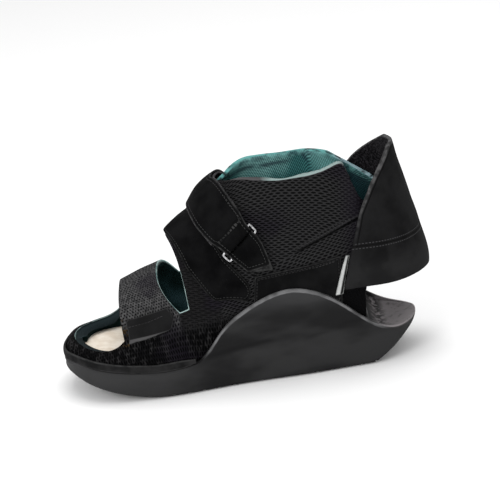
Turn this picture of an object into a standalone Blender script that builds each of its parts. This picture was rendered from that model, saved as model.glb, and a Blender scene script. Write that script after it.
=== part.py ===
"""Post operative shoe for one foot: rocker sole with side wings, open-toe bootie, straps and heel sling.

Metres. The toe points to -X and the heel to +X. The side that carries the closures is -Y. The tread's flat
lies on Z = 0, and X = 0 is near the middle of it. The last is straight: its two sides mirror each other.
"""

import bisect
import functools
import math

import bmesh
import bpy
from mathutils import Vector

# Sole
SOLE_LENGTH = 0.2854
TREAD_CENTRE = 0.522  # share of the sole's length from the toe tip to X = 0
BALL_WIDTH = 0.112
HEEL_WIDTH = 0.079
SIDE_HEIGHT = 0.0223
WING_HEIGHT = 0.0739
TOE_SPRING = 0.019
HEEL_SPRING = 0.027
WING_WALL = 0.0035
GROOVE_DEPTH = 0.0016
GROOVE_WIDTH = 0.0022
GROOVE_PITCH = 0.012

# Bootie
COLLAR_HEIGHT = 0.160
LAST_OVERHANG = 0.0136  # how far the last's outline reaches behind the sole
UPPER_WALL = 0.003
CLEARANCE = 0.0003
SEAT_GAP = 0.0005  # under the bootie's and insole's curved feet
RAND_THICKNESS = 0.0021
RAND_HEIGHT = 0.0062
PANEL_THICKNESS = 0.0012
BAND_THICKNESS = 0.0015
INSOLE_THICKNESS = 0.005
INSOLE_WEDGE = 0.014
INSOLE_BACK = 0.834  # share of the sole's length
INSOLE_CROWN = 0.0012  # how far its rim stands above its middle
INSOLE_EASE = 0.002  # between the footbed's edge and the bootie's wall
GUSSET_THICKNESS = 0.003
GUSSET_TOP = 0.381  # share of COLLAR_HEIGHT
GUSSET_FLARE = 0.0004  # how much wider it is at the top, as the walls lean out
GUSSET_CROWN = 0.001

# Straps and ring
STRAP_THICKNESS = 0.0016
PAD_THICKNESS = 0.0016
TAB_THICKNESS = 0.0025
LOOP_GAP = 0.0006  # pile of the hook and loop between pad and strap
WIRE_RADIUS = 0.0012
RING_GAP = 0.0072  # between the middles of the ring's two long bars
FLAG_THICKNESS = 0.0012

# Heel sling
SLING_HEIGHT = 1.075 * COLLAR_HEIGHT
SLING_WIDTH = HEEL_WIDTH + 0.005
SLING_OVERHANG = 0.0024  # behind the last's outline
SLING_WALL = 0.003

TOE_ROUND = 0.21 * SOLE_LENGTH
HEEL_ROUND = 0.158 * SOLE_LENGTH
TOE_X = -TREAD_CENTRE * SOLE_LENGTH
HEEL_X = TOE_X + SOLE_LENGTH
LAST_BACK = HEEL_X + LAST_OVERHANG
SLING_BACK = LAST_BACK + SLING_OVERHANG


def along(share):
    """X of a share of the sole's length, counted from the toe tip."""
    return TOE_X + share * SOLE_LENGTH


def smooth_slopes(keys, values):
    """Slopes of the monotone cubic through (key, value), so a table's rows are met with no overshoot."""
    steps = [b - a for a, b in zip(keys, keys[1:])]
    rises = [(b - a) / step for a, b, step in zip(values, values[1:], steps)]
    slopes = [0.0] * len(keys)
    for i in range(1, len(keys) - 1):
        if rises[i - 1] * rises[i] > 0:
            near, far = 2 * steps[i] + steps[i - 1], steps[i] + 2 * steps[i - 1]
            slopes[i] = (near + far) / (near / rises[i - 1] + far / rises[i])
    return slopes


def smooth(keys, values, t, slopes=None):
    """Value of that cubic at t, held beyond the ends."""
    if t <= keys[0]:
        return values[0]
    if t >= keys[-1]:
        return values[-1]
    slopes = slopes or smooth_slopes(keys, values)
    i = bisect.bisect_right(keys, t) - 1
    step = keys[i + 1] - keys[i]
    u = (t - keys[i]) / step
    start = (1 + 2 * u) * (1 - u) ** 2 * values[i] + u * (1 - u) ** 2 * step * slopes[i]
    end = u * u * (3 - 2 * u) * values[i + 1] + u * u * (u - 1) * step * slopes[i + 1]
    return start + end


class Table:
    """Rows with named columns. at() reads a column smoothly by the first column, row() by row number."""

    def __init__(self, names, rows):
        self.columns = dict(zip(names.split(), zip(*rows)))
        self.keys = [row[0] for row in rows]
        self.numbers = list(range(len(rows)))
        self.count = len(rows)
        self.slopes = {name: smooth_slopes(self.keys, column) for name, column in self.columns.items()}
        self.row_slopes = {name: smooth_slopes(self.numbers, column) for name, column in self.columns.items()}

    def at(self, name, key):
        return smooth(self.keys, self.columns[name], key, self.slopes[name])

    def row(self, name, number):
        return smooth(self.numbers, self.columns[name], number, self.row_slopes[name])


# How far the half width has gone from the ball's to the heel's, along the sole
WAIST = Table(
    "share heel_part",
    [
        (0.0, 0.06), (0.210, 0.06), (0.252, 0.0), (0.333, 0.09), (0.403, 0.27), (0.487, 0.485),
        (0.578, 0.606), (0.662, 0.667), (0.718, 0.757), (0.774, 0.879), (0.837, 1.0), (1.0, 1.0),
    ],
)

# Side of the sole above the tread: share of SIDE_HEIGHT, and how far the wing has risen to WING_HEIGHT
EDGE = Table(
    "share side wing",
    [
        (0.000, 0.42, 0.0), (0.039, 0.66, 0.0), (0.070, 0.74, 0.0), (0.109, 0.81, 0.0),
        (0.154, 0.88, 0.0), (0.207, 0.94, 0.0), (0.249, 0.98, 0.0), (0.322, 1.01, 0.0),
        (0.361, 1.08, 0.0), (0.382, 1.12, 0.01), (0.403, 1.10, 0.06), (0.417, 1.05, 0.25),
        (0.431, 1.00, 0.38), (0.459, 1.00, 0.545), (0.513, 1.00, 0.745), (0.571, 1.00, 0.90),
        (0.620, 1.00, 0.985), (0.655, 1.00, 1.0), (0.715, 1.00, 0.91), (0.774, 1.00, 0.715),
        (0.837, 1.00, 0.40), (0.869, 0.98, 0.25), (0.897, 0.93, 0.10), (0.923, 0.76, 0.02),
        (0.950, 0.54, 0.0), (0.974, 0.32, 0.0), (1.000, 0.157, 0.0),
    ],
)

# Floor between the wings and in the heel dish. rise: above the tread, as a share of SIDE_HEIGHT. dish: 1 in
# the dish
FLOOR = Table(
    "share rise dish",
    [
        (0.0, 1.13, 0), (0.375, 1.13, 0), (0.417, 1.21, 0), (0.522, 1.32, 0), (0.662, 1.48, 0),
        (0.802, 1.57, 0), (0.851, 1.57, 0), (0.862, 1.42, 0.4), (0.876, 1.085, 1), (0.894, 0.86, 1),
        (0.915, 0.655, 1), (0.936, 0.493, 1), (0.957, 0.368, 1), (0.978, 0.265, 1), (1.0, 0.143, 1),
    ],
)
FLAT_FRONT = along(0.27)
FLAT_BACK = along(0.858)


def tread_height(x):
    if x < FLAT_FRONT:
        return TOE_SPRING * ((FLAT_FRONT - x) / (FLAT_FRONT - TOE_X)) ** 1.4
    if x > FLAT_BACK:
        return HEEL_SPRING * min(1.0, (x - FLAT_BACK) / (HEEL_X - FLAT_BACK)) ** 1.3
    return 0.0


def edge_height(x):
    share = (x - TOE_X) / SOLE_LENGTH
    wing = (WING_HEIGHT - SIDE_HEIGHT) * EDGE.at("wing", share)
    return tread_height(x) + SIDE_HEIGHT * EDGE.at("side", share) + wing


def floor_height(x):
    share = (x - TOE_X) / SOLE_LENGTH
    return min(edge_height(x), tread_height(x) + SIDE_HEIGHT * FLOOR.at("rise", share))


def end_round(share):
    """Half width of a blunt rounded end, from 0 at its tip to 1."""
    if share >= 1:
        return 1.0
    return (1 - (1 - max(share, 0.0)) ** 2.3) ** 0.526


def half_width(x, back):
    body = BALL_WIDTH + (HEEL_WIDTH - BALL_WIDTH) * WAIST.at("heel_part", (x - TOE_X) / SOLE_LENGTH)
    return body / 2 * end_round((x - TOE_X) / TOE_ROUND) * end_round((back - x) / HEEL_ROUND)


def outline_point(x, back, inset):
    """Point of the near outline, moved inwards along the outline's normal."""
    if x <= TOE_X:
        return TOE_X + inset, 0.0
    if x >= back:
        return back - inset, 0.0
    step = min(1e-5, (x - TOE_X) / 2, (back - x) / 2)
    slope = (half_width(x + step, back) - half_width(x - step, back)) / (2 * step)
    length = math.hypot(slope, 1)
    return x + inset * slope / length, min(0.0, inset / length - half_width(x, back))


def even_stations(back, count):
    """X places whose outline points lie evenly along the outline, from toe tip to heel tip."""
    fine = 400
    places = [TOE_X + (back - TOE_X) * (1 - math.cos(math.pi * i / fine)) / 2 for i in range(fine + 1)]
    lengths = [0.0]
    for a, b in zip(places, places[1:]):
        lengths.append(lengths[-1] + math.hypot(b - a, half_width(b, back) - half_width(a, back)))
    found = []
    for i in range(count + 1):
        goal = lengths[-1] * i / count
        j = min(fine - 1, max(j for j in range(fine + 1) if lengths[j] <= goal))
        u = (goal - lengths[j]) / (lengths[j + 1] - lengths[j])
        found.append(places[j] + u * (places[j + 1] - places[j]))
    return found


def clear_scene():
    for thing in list(bpy.data.objects):
        bpy.data.objects.remove(thing, do_unlink=True)


def finish_material(name, colour, roughness, metallic=0.0):
    made = bpy.data.materials.new(name)
    made.use_nodes = True
    shader = made.node_tree.nodes["Principled BSDF"]
    shader.inputs["Base Color"].default_value = (*colour, 1.0)
    shader.inputs["Roughness"].default_value = roughness
    shader.inputs["Metallic"].default_value = metallic
    return made


class Builder:
    """Collects faces by their corner places, so that neighbouring grids share their edges."""

    def __init__(self, name):
        self.name = name
        self.mesh = bmesh.new()
        self.found = {}

    def corner(self, place):
        key = tuple(round(value * 1e6) for value in place)
        if key not in self.found:
            self.found[key] = self.mesh.verts.new(place)
        return self.found[key]

    def face(self, places):
        corners = []
        for place in places:
            vert = self.corner(place)
            if vert not in corners:
                corners.append(vert)
        if len(corners) > 2 and not self.mesh.faces.get(corners):
            self.mesh.faces.new(corners)

    def strip(self, first, second):
        for i in range(len(first) - 1):
            self.face([first[i], first[i + 1], second[i + 1], second[i]])

    def grid(self, rows):
        for first, second in zip(rows, rows[1:]):
            self.strip(first, second)

    def make(self, material, turn=True):
        if turn:
            bmesh.ops.recalc_face_normals(self.mesh, faces=self.mesh.faces)
        data = bpy.data.meshes.new(self.name)
        self.mesh.to_mesh(data)
        self.mesh.free()
        made = bpy.data.objects.new(self.name, data)
        bpy.context.scene.collection.objects.link(made)
        data.materials.append(material)
        data.shade_smooth()
        data.set_sharp_from_angle(angle=math.radians(50))
        return made


def sole_section(x):
    """(inset, height) pairs from the tread's middle round the side to the floor's middle."""
    low, top, floor = tread_height(x), edge_height(x), floor_height(x)
    side = top - low
    roll = min(0.0018, side * 0.2)
    dip = 0.0006 + 0.0016 * EDGE.at("wing", (x - TOE_X) / SOLE_LENGTH)
    dish = FLOOR.at("dish", (x - TOE_X) / SOLE_LENGTH)
    depth = min(top - floor, 0.004) * dish
    return [
        (0.0120, low),
        (0.0045, low),
        (0.0014, low + roll),
        (0.0003, low + 0.25 * side),
        (dip, low + 0.45 * side),
        (0.6 * dip, low + 0.7 * side),
        (0.0, top - roll),
        (0.0006, top - 0.3 * roll),
        (0.0016, top),
        (WING_WALL - 0.0004, top),
        (WING_WALL, top - 0.35 * (top - floor)),
        (WING_WALL + 0.0002 + 0.0004 * dish, floor + 0.7 * depth),
        (WING_WALL + 0.0006 + 0.0034 * dish, floor + 0.15 * depth),
        (WING_WALL + 0.0090, floor),
    ]


def make_sole(material):
    shell = Builder("sole")
    stations = even_stations(HEEL_X, 34)
    sections = [sole_section(x) for x in stations]
    rings = []
    for level in range(len(sections[0])):
        near = []
        for x, section in zip(stations, sections):
            px, py = outline_point(x, HEEL_X, section[level][0])
            near.append((px, py, sole_section(px)[level][1]))
        far = [(px, -py, height) for px, py, height in reversed(near[1:-1])]
        rings.append(near + far + near[:1])
    shell.grid(rings)
    count = len(stations)
    for ring in (rings[0], rings[-1]):
        for i in range(count - 1):
            shell.face([ring[i], ring[i + 1], ring[(-2 - i) % len(ring)], ring[-1 - i]])
    sole = shell.make(material)
    cutter = Builder("tread_grooves")
    for share, copies in ((0.30, 5), (0.70, 5)):
        for i in range(copies):
            x = along(share) + i * GROOVE_PITCH
            add_box(
                cutter,
                (x - GROOVE_WIDTH / 2, -BALL_WIDTH, -SIDE_HEIGHT),
                (x + GROOVE_WIDTH / 2, BALL_WIDTH, GROOVE_DEPTH),
            )
    grooves = cutter.make(material)
    grooves.hide_render = True
    grooves.display_type = "WIRE"
    cut = sole.modifiers.new("grooves", "BOOLEAN")
    cut.operation = "DIFFERENCE"
    cut.object = grooves
    return sole


def add_box(shell, low, high):
    xs, ys, zs = zip(low, high)
    near = [(x, ys[0], z) for x, z in ((xs[0], zs[0]), (xs[1], zs[0]), (xs[1], zs[1]), (xs[0], zs[1]))]
    far = [(x, ys[1], z) for x, _, z in near]
    shell.face(near)
    shell.face(far)
    for i in range(4):
        shell.face([near[i], near[(i + 1) % 4], far[(i + 1) % 4], far[i]])


# How far the bootie's foot stands in from the sole's outline, at the toe and inside the wings
TOE_TUCK, WING_TUCK = 0.0214, 0.0500

# The bootie's stations, toe to heel. share: place on the outline. inset: of the wall's foot, and ledge_inset:
# of the line where the side wall ends, both from the outline, as shares of BALL_WIDTH. shift: how far the
# ledge leans back, as a share of SOLE_LENGTH. foot and ledge: heights, as shares of COLLAR_HEIGHT (a foot of
# 0 stands on the sole). top_*: the dorsal line or the collar's rim, its half width a share of HEEL_WIDTH.
# peak: what the near rim adds to the far one. roll: 1 where the wall rolls inwards. arch: 1 where it closes
# over the foot. lean: 1 where the station leans evenly with its height.
STATIONS = Table(
    "share inset foot ledge_inset shift ledge top_x top_width top peak roll arch lean",
    [
        (0.000, TOE_TUCK, 0.0, 0.094, 0.0, 0.262, 0.0, 0.0, 0.5, 0.0, 1, 1, 1),
        (0.008, TOE_TUCK, 0.0, 0.094, 0.0, 0.260, 0.0, 0.0, 0.5, 0.0, 1, 1, 1),
        (0.028, TOE_TUCK, 0.0, 0.094, 0.0, 0.256, 0.0, 0.0, 0.5, 0.0, 1, 1, 1),
        (0.060, TOE_TUCK, 0.0, 0.094, 0.0, 0.248, 0.0, 0.0, 0.5, 0.0, 1, 1, 1),
        (0.102, TOE_TUCK, 0.0, 0.094, 0.0, 0.247, 0.102, 0.0, 0.5, 0.0, 1, 1, 1),
        (0.142, TOE_TUCK, 0.0, 0.085, 0.0, 0.261, 0.142, 0.0, 0.5, 0.0, 1, 1, 1),
        (0.168, TOE_TUCK, 0.0, 0.062, 0.0, 0.288, 0.168, 0.0, 0.5, 0.0, 0.6, 1, 1),
        (0.184, TOE_TUCK, 0.0, 0.045, 0.0, 0.313, 0.1785, 0.0, 0.480, 0.0, 0.2, 1, 1),
        (0.245, TOE_TUCK, 0.0, 0.040, 0.010, 0.362, 0.242, 0.0, 0.526, 0.0, 0, 1, 1),
        (0.312, 0.0230, 0.0, 0.040, 0.037, 0.422, 0.289, 0.0, 0.556, 0.0, 0, 1, 1),
        (0.343, 0.0290, 0.0, 0.043, 0.032, 0.431, 0.323, 0.0, 0.737, 0.0, 0, 1, 0.2),
        (0.396, WING_TUCK, 0.0, 0.050, 0.035, 0.475, 0.361, 0.0, 0.795, 0.0, 0, 1, 0.5),
        (0.452, WING_TUCK, 0.0, 0.048, 0.038, 0.516, 0.407, 0.0, 0.841, 0.0, 0, 1, 0.8),
        (0.512, WING_TUCK, 0.0, 0.046, 0.028, 0.541, 0.442, 0.0, 0.917, 0.0, 0, 1, 1),
        (0.564, WING_TUCK, 0.0, 0.045, 0.010, 0.550, 0.4875, 0.0, 0.974, 0.0, 0, 1, 1),
        (0.606, WING_TUCK, 0.0, 0.045, 0.007, 0.554, 0.512, 0.165, 0.990, 0.0, 0, 0.7, 1),
        (0.648, WING_TUCK, 0.0, 0.045, 0.004, 0.558, 0.561, 0.380, 1.020, 0.0, 0, 0.3, 1),
        (0.697, WING_TUCK, 0.0, 0.045, 0.004, 0.564, 0.648, 0.468, 1.010, -0.008, 0, 0, 1),
        (0.746, WING_TUCK, 0.0, 0.043, 0.004, 0.572, 0.739, 0.468, 1.015, -0.008, 0, 0, 1),
        (0.792, WING_TUCK, 0.0, 0.041, 0.007, 0.584, 0.802, 0.443, 0.991, 0.042, 0, 0, 1),
        (0.845, WING_TUCK, 0.0, 0.034, 0.007, 0.600, 0.829, 0.424, 0.966, 0.076, 0, 0, 1),
        (0.857, 0.0430, 0.360, 0.027, 0.013, 0.612, 0.857, 0.418, 0.930, -0.018, 0, 0, 1),
        (0.871, 0.0280, 0.452, 0.022, 0.017, 0.619, 0.875, 0.395, 0.910, -0.066, 0, 0, 1),
        (0.935, 0.0180, 0.462, 0.029, 0.003, 0.619, 0.901, 0.335, 0.884, -0.058, 0, 0, 1),
        (0.988, 0.0180, 0.475, 0.043, 0.0, 0.619, 0.921, 0.253, 0.866, -0.038, 0, 0, 1),
        (1.027, 0.0180, 0.487, 0.057, 0.0, 0.619, 0.935, 0.146, 0.853, -0.012, 0, 0, 1),
        (1.0477, 0.0180, 0.494, 0.066, 0.0, 0.619, 0.9425, 0.0, 0.847, 0.0, 0, 0, 1),
    ],
)
LAST_STATION = STATIONS.count - 1
STRAP_FRONT, STRAP_BACK, BAND_FRONT = 7, 9, 10
WALL_ROWS, ARCH_ROWS = 5, 6
NEAR, FAR = -1, 1


def mix(a, b, share):
    return a + (b - a) * share


@functools.lru_cache(maxsize=None)
def outer_place(station, level, side):
    """Point of the bootie's outer face. level: 0 foot, 1 ledge, 2 dorsal line or collar rim."""
    def value(name):
        return STATIONS.row(name, station)

    x = min(LAST_BACK, along(value("share")))
    foot_x, foot_y = outline_point(x, LAST_BACK, value("inset") * BALL_WIDTH)
    inner_x = outline_point(x, LAST_BACK, value("inset") * BALL_WIDTH + UPPER_WALL)[0]
    seat = max(floor_height(min(foot_x, HEEL_X)), floor_height(min(inner_x, HEEL_X)))
    foot_z = max(seat + SEAT_GAP, value("foot") * COLLAR_HEIGHT)
    ledge_at = min(x + value("shift") * SOLE_LENGTH, LAST_BACK)
    ledge_x, ledge_y = outline_point(ledge_at, LAST_BACK, value("ledge_inset") * BALL_WIDTH)
    ledge_z = value("ledge") * COLLAR_HEIGHT
    if level <= 1:
        turn = level * math.pi / 2
        inwards = mix(level, 1 - math.cos(turn), value("roll"))
        upwards = mix(level, math.sin(turn), value("roll"))
        place = (mix(foot_x, ledge_x, inwards), mix(foot_y, ledge_y, inwards), mix(foot_z, ledge_z, upwards))
    else:
        share = level - 1
        turn = share * math.pi / 2
        top_z = (value("top") + (value("peak") if side == NEAR else 0.0)) * COLLAR_HEIGHT
        inwards = mix(share, 1 - max(0.0, math.cos(turn)) ** 0.75, value("arch"))
        upwards = mix(share, math.sin(turn) ** 0.8, value("arch"))
        back = mix(inwards, upwards, value("lean"))
        place = (
            mix(ledge_x, along(value("top_x")), back),
            mix(ledge_y, -value("top_width") * HEEL_WIDTH, inwards),
            mix(ledge_z, top_z, upwards),
        )
    return Vector((place[0], place[1] * -side, place[2]))


def skin(station, level, side, lift):
    """Point lifted off the bootie's outer face along its normal. A level past 2 runs down the far side."""
    if level > 2:
        level, side = 4 - level, -side
    centre = outer_place(station, level, side)
    step = 0.02
    low, high = max(0.0, station - step), min(LAST_STATION, station + step)
    lengthwise = outer_place(high, level, side) - outer_place(low, level, side)
    under, over = max(0.0, level - step), min(2.0, level + step)
    if level > 1:
        under = max(1.0, under)
    upwards = outer_place(station, over, side) - outer_place(station, under, side)
    normal = lengthwise.cross(upwards).normalized() * -side
    if abs(centre.y) < 1e-6:
        normal.y = 0.0
        normal.normalize()
    return centre + normal * lift


def station_steps():
    return [i / 2 for i in range(2 * LAST_STATION + 1)]


def make_upper(material):
    shell = Builder("upper")
    steps = station_steps()
    for side in (NEAR, FAR):
        for first, second in zip(steps, steps[1:]):
            slot = STRAP_BACK <= first < BAND_FRONT or first < STRAP_FRONT
            rows = [i / WALL_ROWS for i in range(WALL_ROWS + 1)]
            if not slot:
                rows += [1 + (i + 1) / ARCH_ROWS for i in range(ARCH_ROWS)]
            columns = [[tuple(outer_place(step, level, side)) for level in rows] for step in (first, second)]
            shell.strip(*(reversed(columns) if side == NEAR else columns))
    upper = shell.make(material, turn=False)
    add_wall(upper, UPPER_WALL)
    return upper


def add_wall(shell, thickness):
    """Thickens an open surface inwards, away from its outward faces."""
    wall = shell.modifiers.new("wall", "SOLIDIFY")
    wall.thickness = thickness
    wall.offset = -1.0
    wall.use_even_offset = True
    wall.use_quality_normals = True
    return wall


def make_plate(name, place, across, lengthwise, low, high, material):
    """Closed plate between two lifts. place(a, b, lift) maps shares of its two directions."""
    shell = Builder(name)
    layers = []
    for lift in (low, high):
        layers.append(
            [
                [tuple(place(i / across, j / lengthwise, lift)) for j in range(lengthwise + 1)]
                for i in range(across + 1)
            ]
        )
    for layer in layers:
        shell.grid(layer)
    for end in (0, -1):
        shell.strip(layers[0][end], layers[1][end])
        shell.strip([row[end] for row in layers[0]], [row[end] for row in layers[1]])
    return shell.make(material)


@functools.lru_cache(maxsize=1)
def side_chart():
    """Stations and levels with where they lie in the near side view."""
    chart = []
    for i in range(2 * STRAP_FRONT, 2 * LAST_STATION + 1):
        for j in range(17):
            place = outer_place(i / 2, j / 8, NEAR)
            chart.append((i / 2, j / 8, place.x, place.z))
    return chart


@functools.lru_cache(maxsize=None)
def locate(share, height):
    """Station and level of the near outer face seen from the side at a share of the length and a height."""
    goal_x, goal_z = along(share), height * COLLAR_HEIGHT
    nearest = min(side_chart(), key=lambda item: math.hypot(item[2] - goal_x, item[3] - goal_z))
    station, level = nearest[:2]
    step = 0.01
    for _ in range(12):
        here = outer_place(station, level, NEAR)
        miss_x, miss_z = goal_x - here.x, goal_z - here.z
        if math.hypot(miss_x, miss_z) < 1e-6:
            break
        side_step = step if station < LAST_STATION - step else -step
        up_step = step if level < 2 - step else -step
        if level < 1 <= level + up_step:
            up_step = -step
        beside = (outer_place(station + side_step, level, NEAR) - here) / side_step
        above = (outer_place(station, level + up_step, NEAR) - here) / up_step
        area = beside.x * above.z - beside.z * above.x
        if abs(area) < 1e-9:
            break
        station += max(-0.6, min(0.6, (miss_x * above.z - miss_z * above.x) / area))
        level += max(-0.3, min(0.3, (beside.x * miss_z - beside.z * miss_x) / area))
        station = max(0.0, min(LAST_STATION, station))
        level = max(0.0, min(2.0, level))
    return station, level


def trace(corners, over_top=False):
    """Line on the bootie through side-view corners, low end first, and on over the far side if asked."""
    line = [locate(share, height) for share, height in corners]
    if over_top:
        line[-1] = (line[-1][0], 2.0)
        line += [(station, 4 - level) for station, level in reversed(line[:-1])]
    lengths = [0.0]
    for first, second in zip(line, line[1:]):
        step = skin(*second, NEAR, 0.0) - skin(*first, NEAR, 0.0)
        lengths.append(lengths[-1] + step.length)
    keys = [length / lengths[-1] for length in lengths]

    def at(share):
        share = min(1.0, max(0.0, share))
        i = max(j for j in range(len(keys) - 1) if keys[j] <= share)
        u = (share - keys[i]) / (keys[i + 1] - keys[i])
        return mix(line[i][0], line[i + 1][0], u), mix(line[i][1], line[i + 1][1], u)

    return at


def between(front, back, side=NEAR):
    """Places between two traced lines: a runs along them, b from the front one to the back one."""
    def place(a, b, lift):
        first, second = front(a), back(a)
        return skin(mix(first[0], second[0], b), mix(first[1], second[1], b), side, lift)

    return place


# Side-view corners of the overlays, low end first: shares of SOLE_LENGTH and of COLLAR_HEIGHT
BAND_FRONT_EDGE = ((0.447, 0.450), (0.425, 0.491), (0.403, 0.559), (0.378, 0.632), (0.328, 0.744))
BAND_BACK_EDGE = ((0.533, 0.424), (0.549, 0.478), (0.515, 0.581), (0.484, 0.656), (0.424, 0.875))
PAD_FRONT_EDGE = ((0.456, 0.719), (0.446, 0.748), (0.422, 0.795), (0.404, 0.834))
PAD_BACK_EDGE = ((0.5413, 0.859), (0.527, 0.912), (0.487, 0.972))
STRAP_FRONT_EDGE = ((0.4846, 0.6756), (0.451, 0.7450), (0.427, 0.793), (0.409, 0.842))
STRAP_BACK_EDGE = ((0.5628, 0.8013), (0.5455, 0.851), (0.5231, 0.908), (0.480, 0.966))
PANEL_TOP_EDGE = ((0.560, 0.542), (0.654, 0.556), (0.736, 0.567), (0.800, 0.585))
PANEL_FOOT_EDGE = ((0.548, 0.395), (0.654, 0.420), (0.736, 0.400), (0.790, 0.330))
TAB_FRONT_EDGE = ((0.199, 0.300), (0.201, 0.408))
TAB_BACK_EDGE = ((0.318, 0.352), (0.314, 0.456))
FLAG_RISE = 0.0028  # how far the tape starts above the wing
FLAG_FOOT = (edge_height(along(0.773)) + FLAG_RISE) / COLLAR_HEIGHT
FLAG_FRONT_EDGE = ((0.773, FLAG_FOOT), (0.813, 0.583))
FLAG_BACK_EDGE = ((0.794, FLAG_FOOT), (0.824, 0.583))


def make_insole(material):
    """Footbed: thin under the toes, a wedge towards its back edge, with a crowned rim."""
    shell = Builder("insole")
    front = TOE_X + TOE_TUCK * BALL_WIDTH + UPPER_WALL + INSOLE_EASE + 0.0008
    back = along(INSOLE_BACK)
    count = 26
    loops = []
    for i in range(count + 1):
        share = i / count
        x = mix(front, back, share ** 1.6 if share < 0.5 else mix(0.5 ** 1.6, 1, (share - 0.5) * 2))
        place = (x - TOE_X) / SOLE_LENGTH
        tuck = smooth([0.0, 0.343, 0.396, 1.0], [TOE_TUCK, 0.0290, WING_TUCK, WING_TUCK], place)
        inset = tuck * BALL_WIDTH + UPPER_WALL + INSOLE_EASE
        half = section_half(x, inset)
        low = max(floor_height(x - 0.004), floor_height(x), floor_height(x + 0.004)) + SEAT_GAP
        top = low + mix(INSOLE_THICKNESS, INSOLE_WEDGE, smooth([0.35, INSOLE_BACK], [0, 1], place))
        near = [(x, -half, low), (x, -half, top - INSOLE_CROWN), (x, -half + INSOLE_CROWN, top)]
        near.append((x, -0.5 * half, top - 0.7 * INSOLE_CROWN))
        middle = [(x, 0.0, top - INSOLE_CROWN)]
        far = [(x, -y, z) for _, y, z in reversed(near)]
        loops.append(near + middle + far)
    for loop in (loops[0], loops[-1]):
        shell.face(loop)
    shell.grid([loop + loop[:1] for loop in loops])
    return shell.make(material)


def section_half(x, inset):
    """Half width at x of the last's outline moved inwards."""
    low, high = TOE_X, LAST_BACK
    for _ in range(40):
        middle = (low + high) / 2
        if outline_point(middle, LAST_BACK, inset)[0] < x:
            low = middle
        else:
            high = middle
    return -outline_point(low, LAST_BACK, inset)[1]


def make_gusset(material):
    """Fabric panel that closes the bootie's base behind the footbed, between its two walls."""
    shell = Builder("rear_gusset")
    foot = floor_height(along(INSOLE_BACK)) + SEAT_GAP
    top = GUSSET_TOP * COLLAR_HEIGHT
    half = HEEL_WIDTH / 2 - WING_TUCK * BALL_WIDTH - UPPER_WALL - CLEARANCE
    front = along(INSOLE_BACK) + SEAT_GAP
    loops = []
    for x in (front, front + GUSSET_THICKNESS):
        corners = (
            (-half, foot),
            (half, foot),
            (half + GUSSET_FLARE, top - GUSSET_CROWN),
            (0.6 * half, top),
            (-0.6 * half, top),
            (-half - GUSSET_FLARE, top - GUSSET_CROWN),
        )
        loops.append([(x, y, z) for y, z in corners])
    shell.grid([loop + loop[:1] for loop in loops])
    for loop in loops:
        shell.face(loop)
    return shell.make(material)


def make_rand(material):
    """Raised strip around the forefoot, where the bootie meets the sole, from one wing to the other."""
    shell = Builder("toe_rand")
    end = along(0.372)
    stations = [x for x in even_stations(HEEL_X, 68) if x < end - 0.002] + [end]
    loops = []
    for x in stations:
        base = max(edge_height(x), edge_height(outline_point(x, HEEL_X, RAND_THICKNESS)[0])) + SEAT_GAP
        slope = smooth([0.33, 0.372], [1.0, 0.6], (x - TOE_X) / SOLE_LENGTH)
        profile = (
            (RAND_THICKNESS, 0.0),
            (0.0003, 0.0),
            (-0.0003, 0.25 * RAND_HEIGHT * slope),
            (-0.0001, 0.7 * RAND_HEIGHT * slope),
            (0.0007, RAND_HEIGHT * slope),
            (RAND_THICKNESS, RAND_HEIGHT * slope),
        )
        loops.append([(*outline_point(x, HEEL_X, inset), base + height) for inset, height in profile])
    far = [[(x, -y, z) for x, y, z in loop] for loop in reversed(loops[1:])]
    loops = far + loops
    shell.grid([loop + loop[:1] for loop in loops])
    for loop in (loops[0], loops[-1]):
        shell.face(loop)
    return shell.make(material)


# The sling's levels, foot to peak. height: share of SLING_HEIGHT. narrow: share of SLING_WIDTH off each side.
# back: how far its back lies in front of SLING_BACK. front_near and front_far: places of its two front edges,
# shares of SOLE_LENGTH
SLING = Table(
    "height narrow back front_near front_far",
    [
        (0.366, 0.055, 0.0120, 0.872, 0.872),
        (0.376, 0.014, 0.0050, 0.802, 0.802),
        (0.405, 0.003, 0.0010, 0.803, 0.803),
        (0.455, 0.000, 0.0003, 0.812, 0.810),
        (0.520, 0.000, 0.0028, 0.822, 0.820),
        (0.582, 0.000, 0.0049, 0.833, 0.828),
        (0.663, 0.005, 0.0082, 0.848, 0.832),
        (0.738, 0.012, 0.0117, 0.861, 0.836),
        (0.790, 0.020, 0.0140, 0.878, 0.840),
        (0.840, 0.028, 0.0160, 0.895, 0.850),
        (0.890, 0.038, 0.0180, 0.915, 0.878),
        (0.935, 0.050, 0.0198, 0.938, 0.914),
        (0.970, 0.062, 0.0208, 0.955, 0.944),
        (1.000, 0.072, 0.0218, 0.968, 0.9640),
    ],
)
SLING_SIDES, SLING_BENDS = 3, 9
SLING_LIFT = 0.0065  # how much higher its foot stands at the back


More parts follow.
